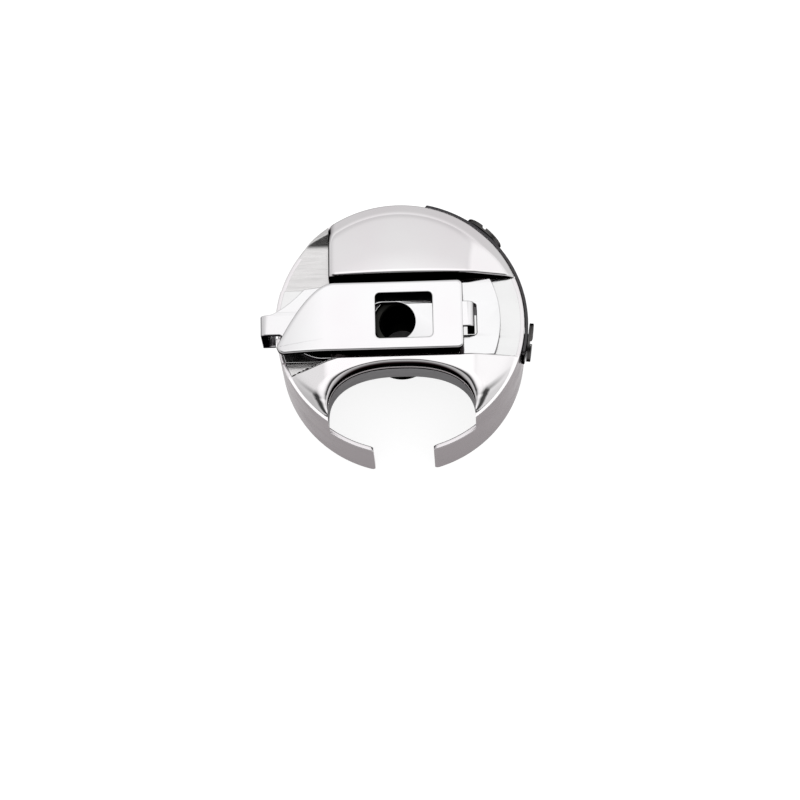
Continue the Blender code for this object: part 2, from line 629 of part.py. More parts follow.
def make_pin(travel):
    """The pin through the slide's ears and the lever's sides."""
    paint(add_part("hinge_pin", pin_mesh("hinge_pin", 0, 0), travel), (0.65, 0.65, 0.66), 0.25)


def make_coil():
    """The compression spring between the slide's lug and the groove's end."""
    low = SPRING_LUG_X + COIL_SEAT_GAP + WIRE_RADIUS
    high = GROOVE_RIGHT_X - COIL_SEAT_GAP - WIRE_RADIUS
    centre_z = CHANNEL_Z - COIL_RADIUS - WIRE_RADIUS - GROOVE_GAP
    curve = bpy.data.curves.new("latch_spring", "CURVE")
    curve.dimensions = "3D"
    curve.bevel_depth = WIRE_RADIUS
    curve.bevel_resolution = 2
    curve.use_fill_caps = True
    spline = curve.splines.new("POLY")
    count = COIL_TURNS * COIL_STEPS + 1
    spline.points.add(count - 1)
    for i, point in enumerate(spline.points):
        angle = 2 * math.pi * i / COIL_STEPS
        along = low + (high - low) * i / (count - 1)
        point.co = (along, COIL_RADIUS * math.cos(angle), centre_z + COIL_RADIUS * math.sin(angle), 1)
    paint(add_part("latch_spring", curve_mesh("latch_spring", curve)), (0.5, 0.5, 0.5), 0.3)


def make_leaf():
    """The thread's tension spring: a strip round the wall, narrow at its free end."""
    low = SCREW_Z - LEAF_WIDTH / 2
    high = SCREW_Z + LEAF_WIDTH / 2
    profile = [(LEAF_OUTER, high), (LEAF_OUTER, low), (LEAF_INNER, low), (LEAF_INNER, high)]
    leaf = turn(add_part("tension_spring", turned("tension_spring", profile)), CASE_STEPS)
    span = sector_mesh("leaf_span", LEAF_START, LEAF_END, low - OVERCUT, high + OVERCUT)
    combine(leaf, add_cutter("leaf_span", span), "INTERSECT")
    for name, start, end in (("tongue_low", low - OVERCUT, SCREW_Z - LEAF_TONGUE / 2),
                             ("tongue_high", SCREW_Z + LEAF_TONGUE / 2, high + OVERCUT)):
        side = sector_mesh(name, LEAF_TONGUE_START, LEAF_END + 5, start, end)
        combine(leaf, add_cutter(name, side))
    for name, angle in (("leaf_fixing_hole", FIXING_ANGLE), ("leaf_tension_hole", TENSION_ANGLE)):
        frame = radial_frame(angle, SCREW_Z) @ Matrix.Translation((0, 0, CASE_RADIUS / 2))
        hole = rod_mesh(name, SCREW_SHANK + SCREW_GAP, CASE_RADIUS, SCREW_STEPS, frame)
        combine(leaf, add_cutter(name, hole))
    paint(leaf, (0.72, 0.72, 0.74), 0.15)


def make_screw(name, angle, head_radius):
    """A slotted screw with a flat head, whose Z points out through the wall."""
    under = LEAF_OUTER + HEAD_GAP
    top = under + SCREW_HEAD
    profile = [(0, top), (head_radius - SCREW_CHAMFER, top), (head_radius, top - SCREW_CHAMFER), (head_radius, under),
               (SCREW_SHANK, under), (SCREW_SHANK, under - SCREW_LENGTH), (0, under - SCREW_LENGTH)]
    mesh = turned(name, profile)
    frame = add_empty(name + "_axis", (0, 0, 0))
    frame.matrix_world = radial_frame(angle, SCREW_Z)
    screw = turn(add_part(name, mesh, frame), SCREW_STEPS)
    half = SCREW_SLOT_WIDTH / 2
    slot = box_mesh(name + "_slot", (-2 * head_radius, -half, top - SCREW_SLOT_DEPTH),
                    (2 * head_radius, half, top + OVERCUT))
    combine(screw, add_cutter(slot.name, slot, frame))
    paint(screw, (0.75, 0.75, 0.75), 0.2)


def main():
    make_case()
    make_tube()
    travel = add_empty("slide_travel", (0, 0, 0))
    pivot = add_empty("lever_pivot", (PIVOT_X, 0, PIVOT_Z), travel)
    make_slide(travel)
    make_pin(travel)
    make_lever(pivot)
    make_coil()
    make_leaf()
    make_screw("fixing_screw", FIXING_ANGLE, FIXING_HEAD_RADIUS)
    make_screw("tension_screw", TENSION_ANGLE, TENSION_HEAD_RADIUS)


main()
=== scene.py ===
import math

import bmesh
import bpy
import numpy as np
from mathutils import Matrix, Vector
from mathutils.geometry import tessellate_polygon


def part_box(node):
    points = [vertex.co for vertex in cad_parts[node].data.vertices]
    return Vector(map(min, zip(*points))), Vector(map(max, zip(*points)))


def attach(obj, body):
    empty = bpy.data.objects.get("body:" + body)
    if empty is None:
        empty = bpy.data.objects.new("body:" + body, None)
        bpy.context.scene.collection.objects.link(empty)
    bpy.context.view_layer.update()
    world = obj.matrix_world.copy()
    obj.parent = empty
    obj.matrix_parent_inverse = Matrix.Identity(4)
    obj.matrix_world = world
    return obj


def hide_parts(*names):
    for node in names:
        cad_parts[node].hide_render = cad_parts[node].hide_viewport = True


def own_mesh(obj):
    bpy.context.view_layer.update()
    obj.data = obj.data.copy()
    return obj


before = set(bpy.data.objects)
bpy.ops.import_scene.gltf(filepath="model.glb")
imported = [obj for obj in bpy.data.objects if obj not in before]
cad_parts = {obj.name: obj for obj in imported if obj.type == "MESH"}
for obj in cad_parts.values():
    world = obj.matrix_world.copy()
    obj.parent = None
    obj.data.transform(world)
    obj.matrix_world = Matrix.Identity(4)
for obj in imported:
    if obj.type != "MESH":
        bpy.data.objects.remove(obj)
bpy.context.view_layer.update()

# ---------------------------------------------------------------------------------------------------------
# The cup's wall: a steel tube turned with the head in one piece, nickel plated and polished. The wall ends
# in two arms beside the arch, and has a notch for the latch's finger and a slit that the thread enters by.
# ---------------------------------------------------------------------------------------------------------
MM = 0.001
case_low, case_high = [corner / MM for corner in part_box("case_body")]
tube_low, tube_high = [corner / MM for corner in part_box("centre_tube")]
leaf_low, leaf_high = [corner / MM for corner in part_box("tension_spring")]
case_radius = case_high.x
case_inner = case_radius - 0.5
channel_z = tube_high.z + 0.05
cavity_z = channel_z - 3.6
head_z = channel_z - 0.5          # where the web hands over to the pieces above it
rim_z = channel_z - 0.02          # top of the wall
trough_z = channel_z - 0.4
arm_z = cavity_z - 0.8
arm_gap = 3.3                     # half the gap between the arms
arch_half = 7.95
notch_low, notch_high = -1.35, 1.3
slit_angle, slit_half, slit_top = 96.0, 0.3, cavity_z - 0.25
path_angle = 70.0
boss_left_x = -7.6
channel_low_y, channel_high_y = -4.15, 4.75
trough_low_y = channel_high_y - 0.75
flare_from = np.array([boss_left_x + 0.6, channel_low_y])
flare_to = np.array([-case_radius, channel_low_y - 2.2])


def quads(rows, columns, loop=False):
    """Quads between neighbouring points of a grid; loop joins its last column to its first."""
    index = np.arange(rows * columns).reshape(rows, columns)
    if loop:
        index = np.hstack([index, index[:, :1]])
    faces = np.stack([index[:-1, :-1], index[:-1, 1:], index[1:, 1:], index[1:, :-1]], axis=-1)
    return faces.reshape(-1, 4).tolist()


def round_edge(radius, steps=5):
    """Quarter circle from a flat to its side: the distance in from the edge, and the drop from the flat."""
    turn = np.linspace(0, np.pi / 2, steps + 1)
    return radius * (1 - np.sin(turn)), radius * (1 - np.cos(turn))


def build(name, shells, body, material, node, sharp=35.0):
    """One piece from closed shells, each its points in millimetres and its faces. Doubles are merged and the
    faces turned outwards shell by shell, and flats keep their own normals where they meet a rounded edge."""
    mesh = bpy.data.meshes.new(name)
    form = bmesh.new()
    for points, faces in shells:
        part = bpy.data.meshes.new("shell")
        part.from_pydata((np.asarray(points, float).reshape(-1, 3) * MM).tolist(), [], faces)
        shell = bmesh.new()
        shell.from_mesh(part)
        bmesh.ops.remove_doubles(shell, verts=shell.verts, dist=0.0008 * MM)
        bmesh.ops.dissolve_degenerate(shell, dist=0.0004 * MM, edges=shell.edges)
        bmesh.ops.recalc_face_normals(shell, faces=shell.faces)
        shell.to_mesh(part)
        shell.free()
        form.from_mesh(part)
        bpy.data.meshes.remove(part)
    form.to_mesh(mesh)
    form.free()
    mesh.shade_smooth()
    mesh.set_sharp_from_angle(angle=math.radians(sharp))
    piece = bpy.data.objects.new(name, mesh)
    bpy.context.scene.collection.objects.link(piece)
    flats = piece.modifiers.new("flats", "WEIGHTED_NORMAL")
    flats.keep_sharp = True
    flats.weight = 100
    mesh.materials.append(material)
    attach(piece, body)
    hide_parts(node)
    return piece


def band(angle_at, low, high, inner, outer, fillet=0.08):
    """A strip bent round the case's axis. angle_at(radius) gives each column's angle, low and high its edges.
    The section runs up the outside, over the top edge, down the inside and back, with quarter rounds."""
    inset, drop = round_edge(fillet, 3)
    radius = np.concatenate([outer - inset[::-1], inner + inset, inner + inset[::-1], outer - inset])
    depth = np.concatenate([drop[::-1], drop, drop[::-1], drop])
    top = np.repeat([True, True, False, False], len(inset))
    turn = np.stack([angle_at(r) for r in radius], axis=1)
    height = np.where(top, np.asarray(high)[:, None] - depth, np.asarray(low)[:, None] + depth)
    points = np.stack([radius * np.cos(turn), radius * np.sin(turn), height], axis=-1)
    count, width = turn.shape
    ends = [list(range(width)), list(range((count - 1) * width, count * width))]
    return points, quads(count, width, loop=True) + ends


def effect_group(name, inputs, outputs):
    """An empty shader group with named inputs (kind, default) and outputs (kind)."""
    group = bpy.data.node_groups.new(name, "ShaderNodeTree")
    for label, kind, default in inputs:
        socket = group.interface.new_socket(label, in_out="INPUT", socket_type=kind)
        socket.default_value = default
    for label, kind in outputs:
        group.interface.new_socket(label, in_out="OUTPUT", socket_type=kind)
    return group, group.nodes.new("NodeGroupInput"), group.nodes.new("NodeGroupOutput")


def noise_node(tree, place, scale, detail, roughness=0.5):
    """Noise that reads a place in object coordinates, with features of 1/scale metres."""
    noise = tree.nodes.new("ShaderNodeTexNoise")
    noise.inputs["Scale"].default_value = scale
    noise.inputs["Detail"].default_value = detail
    noise.inputs["Roughness"].default_value = roughness
    tree.links.new(place, noise.inputs["Vector"])
    return noise.outputs["Fac"]


def remap(tree, value, low, high, to_low, to_high):
    """A value's range moved to another, and clamped to it."""
    node = tree.nodes.new("ShaderNodeMapRange")
    for label, number in (("From Min", low), ("From Max", high), ("To Min", to_low), ("To Max", to_high)):
        node.inputs[label].default_value = number
    tree.links.new(value, node.inputs["Value"])
    return node.outputs["Result"]


def polish_group():
    """Buffed plate: faint broad waves and hairlines as height, with hazier patches and a drift of tint."""
    group, given, out = effect_group(
        "buffed_plate",
        [("Vector", "NodeSocketVector", (0, 0, 0)), ("Roughness", "NodeSocketFloat", 0.06),
         ("Haze", "NodeSocketFloat", 0.05), ("Tint", "NodeSocketFloat", 0.5)],
        [("Roughness", "NodeSocketFloat"), ("Height", "NodeSocketFloat"), ("Tint", "NodeSocketFloat")])
    links = group.links
    place = given.outputs["Vector"]
    patches = remap(group, noise_node(group, place, 260, 3), 0.42, 0.72, 0.0, 1.0)
    haze = group.nodes.new("ShaderNodeMath")
    haze.operation = "MULTIPLY_ADD"
    links.new(patches, haze.inputs[0])
    links.new(given.outputs["Haze"], haze.inputs[1])
    links.new(given.outputs["Roughness"], haze.inputs[2])
    links.new(haze.outputs[0], out.inputs["Roughness"])
    stretch = group.nodes.new("ShaderNodeVectorMath")
    stretch.operation = "MULTIPLY"
    stretch.inputs[1].default_value = (180, 2600, 900)
    links.new(place, stretch.inputs[0])
    hairs = noise_node(group, stretch.outputs[0], 1.0, 2, 0.6)
    waves = noise_node(group, place, 150, 1)
    height = group.nodes.new("ShaderNodeMath")
    height.operation = "MULTIPLY_ADD"
    links.new(waves, height.inputs[0])
    height.inputs[1].default_value = 6.0
    links.new(hairs, height.inputs[2])
    links.new(height.outputs[0], out.inputs["Height"])
    drift = remap(group, noise_node(group, place, 120, 2), 0.35, 0.65, 0.0, 1.0)
    tint = group.nodes.new("ShaderNodeMath")
    tint.operation = "MULTIPLY"
    links.new(drift, tint.inputs[0])
    links.new(given.outputs["Tint"], tint.inputs[1])
    links.new(tint.outputs[0], out.inputs["Tint"])
    return group


def side_shade_group():
    """Two colours from the way a face looks: the plate's own where it looks up, and dark ones on upright sides
    and undersides, a painted shade that also dims their reflections."""
    group, given, out = effect_group(
        "painted_side_shade",
        [("Normal", "NodeSocketVector", (0, 0, 1)), ("Plate", "NodeSocketColor", (0.6, 0.6, 0.6, 1)),
         ("Side", "NodeSocketColor", (0.03, 0.03, 0.03, 1)),
         ("Side Tint", "NodeSocketColor", (0.06, 0.06, 0.06, 1))],
        [("Colour", "NodeSocketColor"), ("Tint", "NodeSocketColor")])
    facing = group.nodes.new("ShaderNodeSeparateXYZ")
    group.links.new(given.outputs["Normal"], facing.inputs[0])
    upward = remap(group, facing.outputs["Z"], 0.34, 0.78, 0.0, 1.0)
    for dark, bright, label in (("Side", "Plate", "Colour"), ("Side Tint", None, "Tint")):
        blend = group.nodes.new("ShaderNodeMix")
        blend.data_type = "RGBA"
        group.links.new(upward, blend.inputs["Factor"])
        group.links.new(given.outputs[dark], blend.inputs["A"])
        blend.inputs["B"].default_value = (1, 1, 1, 1)
        if bright:
            group.links.new(given.outputs[bright], blend.inputs["B"])
        group.links.new(blend.outputs["Result"], out.inputs[label])
    return group


# The side colours paint shade on upright faces and undersides by their slope alone.
buffed_plate, painted_side_shade = polish_group(), side_shade_group()


def metal(name):
    """A bare metallic material, with its tree and its shader."""
    material = bpy.data.materials.new(name)
    material.use_nodes = True
    shader = material.node_tree.nodes["Principled BSDF"]
    shader.inputs["Metallic"].default_value = 1.0
    return material, material.node_tree, shader


def raise_surface(tree, shader, height, strength, depth):
    """Bump from a height, at most a depth in millimetres."""
    relief = tree.nodes.new("ShaderNodeBump")
    relief.inputs["Strength"].default_value = strength
    relief.inputs["Distance"].default_value = depth * MM
    tree.links.new(height, relief.inputs["Height"])
    tree.links.new(relief.outputs["Normal"], shader.inputs["Normal"])


def chain(tree, operation, values):
    """One value after another taken into a running total by a math operation."""
    total = values[0]
    for value in values[1:]:
        step = tree.nodes.new("ShaderNodeMath")
        step.operation = operation
        tree.links.new(total, step.inputs[0])
        tree.links.new(value, step.inputs[1])
        total = step.outputs[0]
    return total


def polished(name, colour, second, roughness, haze=0.05, bump=0.02, tint=0.6, side=(0.034, 0.028, 0.029)):
    """Polished plate of two close tints, with the buffing's haze and waves. Upright sides and undersides get
    the side colour and dimmed reflections: painted shade."""
    material, tree, shader = metal(name)
    texture = tree.nodes.new("ShaderNodeTexCoord")
    buff = tree.nodes.new("ShaderNodeGroup")
    buff.node_tree = buffed_plate
    buff.inputs["Roughness"].default_value = roughness
    buff.inputs["Haze"].default_value = haze
    buff.inputs["Tint"].default_value = tint
    tree.links.new(texture.outputs["Object"], buff.inputs["Vector"])
    blend = tree.nodes.new("ShaderNodeMix")
    blend.data_type = "RGBA"
    blend.inputs["A"].default_value = (*colour, 1)
    blend.inputs["B"].default_value = (*second, 1)
    tree.links.new(buff.outputs["Tint"], blend.inputs["Factor"])
    # The side colour is painted shade on upright faces and undersides, in base colour and in specular tint.
    sides = tree.nodes.new("ShaderNodeGroup")
    sides.node_tree = painted_side_shade
    sides.inputs["Side"].default_value = (*side, 1)
    sides.inputs["Side Tint"].default_value = (*[min(1, 2 * c) for c in side], 1)
    tree.links.new(texture.outputs["Normal"], sides.inputs["Normal"])
    tree.links.new(blend.outputs["Result"], sides.inputs["Plate"])
    tree.links.new(sides.outputs["Colour"], shader.inputs["Base Color"])
    tree.links.new(sides.outputs["Tint"], shader.inputs["Specular Tint"])
    tree.links.new(buff.outputs["Roughness"], shader.inputs["Roughness"])
    raise_surface(tree, shader, buff.outputs["Height"], bump, 0.01)
    return material


# The case's plate paints its upright faces near black: painted shade. The wall's plate is a darker copy, and
# its side colour greys the whole upright wall: painted shade.
case_plate = polished("case_plate", (0.69, 0.68, 0.685), (0.66, 0.62, 0.64), 0.07)
wall_plate_painted_shade = polished("wall_plate_painted_shade", (0.62, 0.60, 0.61), (0.58, 0.55, 0.57), 0.22, haze=0.10,
                      side=(0.31, 0.295, 0.30))


def flare_cut(radius):
    """Where the slanting end of the boss by the arch meets a circle about the case's axis."""
    along = (flare_to - flare_from) / np.linalg.norm(flare_to - flare_from)
    dot = along @ flare_from
    return flare_from + along * (-dot + math.sqrt(dot ** 2 - flare_from @ flare_from + radius ** 2))


wall_runs = [24, 100, 24, 2, 30, 40, 8, 6, 8, 12, 50, 24]


def wall_angles(radius):
    """Angles of the wall's columns at a radius. The arms' ends, the arch's sides, the troughs, the notch and
    the slit are flat cuts, so their angles change with the radius. Between them the columns are even."""
    tip = math.asin(arm_gap / radius) - math.pi / 2
    side = math.asin(arch_half / radius) - math.pi / 2
    slit = math.radians(slit_angle)
    half = math.asin(slit_half / radius)
    cut = flare_cut(radius)
    stops = [tip, side, math.radians(path_angle), slit - half, slit + half, math.acos(boss_left_x / radius)]
    stops += [math.pi - math.asin(y / radius) for y in (trough_low_y, notch_high, notch_low, channel_low_y)]
    stops += [2 * math.pi + math.atan2(cut[1], cut[0]), math.pi - side, math.pi - tip]
    return np.concatenate([np.linspace(a, b, n + 1) for a, b, n in zip(stops, stops[1:], wall_runs)])


def wall_edges():
    """The wall's lower and upper edge at each of those columns. A column that ends one stretch stands beside
    the one that starts the next, so a step in height is a flat face. The arms' ends have rounded corners."""
    trough, notch, path = trough_z + 0.02, cavity_z - 0.9, slit_top - 0.6
    lows = [0, 0, 0, slit_top - 0.62] + [0] * 8
    highs = [arm_z, rim_z, path, path, rim_z, trough, rim_z, notch, rim_z, trough, rim_z, arm_z]
    low = np.concatenate([np.full(n + 1, z) for z, n in zip(lows, wall_runs)]).astype(float)
    high = np.concatenate([np.full(n + 1, z) for z, n in zip(highs, wall_runs)]).astype(float)
    corner = 0.6
    arm_length = case_radius * (math.asin(arch_half / case_radius) - math.asin(arm_gap / case_radius))
    along = np.linspace(0, arm_length, wall_runs[0] + 1)
    rounding = corner - np.sqrt(corner ** 2 - np.clip(corner - along, 0, corner) ** 2)
    arm = len(along)
    low[:arm] += rounding
    high[:arm] -= rounding * 0.5
    low[-arm:] += rounding[::-1]
    high[-arm:] -= rounding[::-1] * 0.5
    return low, high


def bridge_angles(radius):
    """The stretch of wall above the thread's path."""
    half = math.asin(slit_half / radius)
    return np.linspace(math.radians(path_angle), math.radians(slit_angle) + half, 30)


wall_low, wall_high = wall_edges()
bridge = band(bridge_angles, np.full(30, slit_top), np.full(30, rim_z), case_inner, case_radius, 0.02)
wall = band(wall_angles, wall_low, wall_high, case_inner, case_radius, 0.10)
build("case_wall", [wall, bridge], "case", wall_plate_painted_shade, "case_body")

# ---------------------------------------------------------------------------------------------------------
# The head's web: the thick floor between the bobbin's space and the latch, milled through by the arch. It
# is bored for the tube, and milled for the return spring and for the pocket that the lever's tail works in.
# ---------------------------------------------------------------------------------------------------------
arch_top_y, arch_centre_y, arch_power = -5.0, -10.0, 2.4
arch_corner_y = -math.sqrt(case_radius ** 2 - arch_half ** 2)
spigot_gap = 2.95


def arch_curve(count, foot_y=arch_corner_y):
    """Superellipse |x/a|^n + |y/b|^n = 1 over the arch's top, from its left foot to its right one."""
    turn = np.linspace(np.pi, 0, count)
    power = 2 / arch_power
    x = arch_half * np.sign(np.cos(turn)) * np.abs(np.cos(turn)) ** power
    y = arch_centre_y + (arch_top_y - arch_centre_y) * np.sin(turn).clip(0) ** power
    foot = np.linspace(foot_y, arch_centre_y, 8)[:-1]
    left = np.stack([np.full(7, -arch_half), foot], axis=1)
    right = np.stack([np.full(7, arch_half), foot[::-1]], axis=1)
    return np.concatenate([left, np.stack([x, y], axis=1), right])


def circle(radius, start=0.0, end=360.0, count=97, centre=(0, 0)):
    """Points on an arc, from one angle in degrees to another."""
    turn = np.radians(np.linspace(start, end, count))
    return np.stack([centre[0] + radius * np.cos(turn), centre[1] + radius * np.sin(turn)], axis=1)


def oblong(low_x, low_y, high_x, high_y, corner=0.15, count=5):
    """A rectangle with round corners, anticlockwise."""
    corners = [(high_x - corner, high_y - corner, 0), (low_x + corner, high_y - corner, 90),
               (low_x + corner, low_y + corner, 180), (high_x - corner, low_y + corner, 270)]
    return np.concatenate([circle(corner, a, a + 90, count, (x, y)) for x, y, a in corners])


def tidy_loop(loop, clockwise):
    """A closed outline with no doubled points, turned the way asked."""
    loop = loop[np.linalg.norm(loop - np.roll(loop, 1, axis=0), axis=1) > 1e-4]
    area = np.sum(loop[:, 0] * np.roll(loop[:, 1], -1) - np.roll(loop[:, 0], -1) * loop[:, 1])
    return loop[::-1] if (area < 0) != clockwise else loop


def inward(loop):
    """Unit-width offsets into the material for an anticlockwise outline: the miter of its two edges."""
    ahead = np.roll(loop, -1, axis=0) - loop
    ahead /= np.linalg.norm(ahead, axis=1, keepdims=True)
    behind = np.roll(ahead, 1, axis=0)
    normal = np.stack([-(ahead + behind)[:, 1], (ahead + behind)[:, 0]], axis=1)
    normal /= np.linalg.norm(normal, axis=1, keepdims=True)
    cosine = np.abs(np.sum(normal * np.stack([-ahead[:, 1], ahead[:, 0]], axis=1), axis=1))
    return normal / np.maximum(cosine, 0.5)[:, None]


def plate(loops, low, high, fillet=0.08, steps=4):
    """A flat plate: its first loop is the outline and the others are holes. Each loop's side is a grid with a
    quarter round at both edges, and the two faces are filled between the loops."""
    inset, drop = round_edge(fillet, steps)
    offsets = np.concatenate([inset, inset[::-1]])
    heights = np.concatenate([high - drop, low + drop[::-1]])
    points, faces, tops, count = [], [], [], 0
    for number, loop in enumerate(loops):
        loop = tidy_loop(np.asarray(loop, float), number > 0)
        ring = loop[None] + inward(loop)[None] * offsets[:, None, None]
        level = np.broadcast_to(heights[:, None, None], ring.shape[:2] + (1,))
        faces += [[i + count for i in quad] for quad in quads(len(offsets), len(loop), loop=True)]
        points.append(np.concatenate([ring, level], axis=2).reshape(-1, 3))
        tops.append((count, ring[0]))
        count += ring.shape[0] * ring.shape[1]
    outline = [[Vector((x, y, 0)) for x, y in ring] for _, ring in tops]
    index = np.concatenate([start + np.arange(len(ring)) for start, ring in tops])
    last = len(offsets) - 1
    below = np.concatenate([start + len(ring) * last + np.arange(len(ring)) for start, ring in tops])
    for triangle in tessellate_polygon(outline):
        faces.append([int(index[i]) for i in triangle])
        faces.append([int(below[i]) for i in reversed(triangle)])
    return np.concatenate(points), faces


def marks_group():
    """Parallel tool marks from one noise drawn out along the cut: their height, roughness and shade."""
    group, given, out = effect_group(
        "tool_marks",
        [("Vector", "NodeSocketVector", (0, 0, 0)), ("Stretch", "NodeSocketVector", (400, 400, 5200)),
         ("Colour", "NodeSocketColor", (0.5, 0.5, 0.5, 1)), ("Roughness", "NodeSocketFloat", 0.3)],
        [("Colour", "NodeSocketColor"), ("Roughness", "NodeSocketFloat"), ("Height", "NodeSocketFloat")])
    scaled = group.nodes.new("ShaderNodeVectorMath")
    scaled.operation = "MULTIPLY"
    group.links.new(given.outputs["Vector"], scaled.inputs[0])
    group.links.new(given.outputs["Stretch"], scaled.inputs[1])
    marks = noise_node(group, scaled.outputs[0], 1.0, 4, 0.65)
    group.links.new(marks, out.inputs["Height"])
    rough = group.nodes.new("ShaderNodeMath")
    group.links.new(remap(group, marks, 0.3, 0.7, -0.08, 0.12), rough.inputs[0])
    group.links.new(given.outputs["Roughness"], rough.inputs[1])
    group.links.new(rough.outputs[0], out.inputs["Roughness"])
    shade = group.nodes.new("ShaderNodeVectorMath")
    shade.operation = "SCALE"
    group.links.new(given.outputs["Colour"], shade.inputs[0])
    group.links.new(remap(group, marks, 0.3, 0.6, 0.82, 1.0), shade.inputs["Scale"])
    group.links.new(shade.outputs[0], out.inputs["Colour"])
    return group


tool_marks = marks_group()


def milled(name, colour, roughness, grain=0.15, stretch=(400, 400, 5200)):
    """Milled or ground metal: fine parallel tool marks as height, roughness and shade."""
    material, tree, shader = metal(name)
    marks = tree.nodes.new("ShaderNodeGroup")
    marks.node_tree = tool_marks
    marks.inputs["Stretch"].default_value = stretch
    marks.inputs["Colour"].default_value = (*colour, 1)
    marks.inputs["Roughness"].default_value = roughness
    tree.links.new(tree.nodes.new("ShaderNodeTexCoord").outputs["Object"], marks.inputs["Vector"])
    tree.links.new(marks.outputs["Colour"], shader.inputs["Base Color"])
    tree.links.new(marks.outputs["Colour"], shader.inputs["Specular Tint"])
    tree.links.new(marks.outputs["Roughness"], shader.inputs["Roughness"])
    raise_surface(tree, shader, marks.outputs["Height"], grain, 0.02)
    return material


arch_steel = milled("arch_steel", (0.30, 0.295, 0.30), 0.42)

web_radius = case_inner + 0.1
web_low_y = -math.sqrt(web_radius ** 2 - arch_half ** 2)
web_start = math.degrees(math.atan2(web_low_y, arch_half))
notch_x = -12.3


def reach_angle(y, radius=web_radius):
    """Angle in degrees, right of the axis, at which a circle reaches a height in Y."""
    return math.degrees(math.asin(y / radius))


notch_cut = [(notch_x, notch_high), (notch_x, notch_low)]
web_outline = np.concatenate([
    circle(web_radius, web_start, 180 - reach_angle(notch_high), 130), notch_cut,
    circle(web_radius, 180 - reach_angle(notch_low), 180 - web_start, 50), arch_curve(80, web_low_y)[1:-1]])
bore_hole = circle(spigot_gap, count=73)[:-1]
groove_hole = oblong(-9.4, -1.0, -3.7, 1.0)
pocket_hole = oblong(6.1, -1.75, 8.7, 1.75)
web = plate([web_outline, bore_hole, groove_hole, pocket_hole], cavity_z, head_z, 0.05, 2)
build("head_web", [web], "case", arch_steel, "case_body")

# The floor of the channel that the slide runs in: ground flat right across the head and out through both
# sides of the wall, where its edge is just broken. The finger's notch and the three openings go through it.
floor_plate = polished("floor_plate", (0.60, 0.60, 0.60), (0.56, 0.55, 0.56), 0.13, haze=0.12)
boss_end = math.degrees(math.acos(boss_left_x / web_radius))
cut = flare_cut(web_radius)
cut_angle = 360 + math.degrees(math.atan2(cut[1], cut[0]))
trough_foot = -math.sqrt(web_radius ** 2 - trough_low_y ** 2)
floor_outline = np.concatenate([
    circle(web_radius, web_start, boss_end, 120), [(boss_left_x, trough_low_y), (trough_foot, trough_low_y)],
    circle(web_radius, 180 - reach_angle(trough_low_y), 180 - reach_angle(notch_high), 8), notch_cut,
    circle(web_radius, 180 - reach_angle(notch_low), 180 - reach_angle(channel_low_y), 8), [flare_from],
    circle(web_radius, cut_angle, 180 - web_start, 30), arch_curve(80, web_low_y)[1:-1]])
pocket_top = oblong(6.7, -1.75, 8.7, 1.75)
floor_sheet = plate([floor_outline, bore_hole, groove_hole, pocket_top], head_z, channel_z, 0.06, 3)
build("channel_floor", [floor_sheet], "case", floor_plate, "case_body")

# ---------------------------------------------------------------------------------------------------------
# The upper boss: the crowned half of the head, turned as part of a large sphere with a bevel down to the
# wall. Its hinge end is milled to a slope, its channel edge and its other end are cut square and buffed.
# ---------------------------------------------------------------------------------------------------------
crown_sphere, crown_rise = 46.0, 3.45
bevel_start = case_radius - 1.7
shoulder_z = channel_z + 0.1
slope_x, slope_fall = 7.4, 0.4


def soft_min(first, second, width):
    """The smaller of two heights, blended where they differ by less than width."""
    near = np.clip(1 - np.abs(first - second) / width, 0, 1)
    return np.minimum(first, second) - near ** 2 * width / 4


def edge_drop(distance, radius):
    """How far a rounded edge lies below its flat, at a distance in from the edge."""
    inside = radius - np.clip(distance, 0, radius)
    return radius - np.sqrt(radius ** 2 - inside ** 2)


def turned_top(x, y):
    """The sphere of the crown, blended into the bevel's cone."""
    radius = np.hypot(x, y)
    crown = channel_z + crown_rise - crown_sphere + np.sqrt(crown_sphere ** 2 - radius ** 2)
    start_z = channel_z + crown_rise - crown_sphere + math.sqrt(crown_sphere ** 2 - bevel_start ** 2)
    bevel = start_z - (radius - bevel_start) * (start_z - shoulder_z) / (case_radius - bevel_start)
    return soft_min(crown, bevel, 0.45)


def spread(width, near, far, middle):
    """Distances from 0 to each width: close together in the rounded edges, near and far, and even between."""
    width = np.asarray(width, float)[:, None]
    shrink = np.minimum(1, width / (1.6 * (near + far)))
    turn = 1 - np.cos(np.linspace(0, np.pi / 2, 9))[None]
    first = near * shrink * turn
    last = width - far * shrink * turn[:, ::-1]
    between = np.linspace(0, 1, middle + 1)[None, 1:-1]
    body = first[:, -1:] + (last[:, :1] - first[:, -1:]) * between
    return np.concatenate([first, body, last], axis=1)


def block(top, bottom_z):
    """A closed solid under a grid of points: its top, the same grid at bottom_z, and the four sides."""
    rows, columns = top.shape[:2]
    base = top.copy()
    base[..., 2] = bottom_z
    count = rows * columns
    index = np.arange(count).reshape(rows, columns)
    rim = np.concatenate([index[0], index[1:, -1], index[-1, -2::-1], index[-2:0:-1, 0]])
    following = np.roll(rim, -1)
    sides = np.stack([rim, following, following + count, rim + count], axis=1).tolist()
    below = [[i + count for i in face] for face in quads(rows, columns)]
    return np.concatenate([top.reshape(-1, 3), base.reshape(-1, 3)]), quads(rows, columns) + below + sides


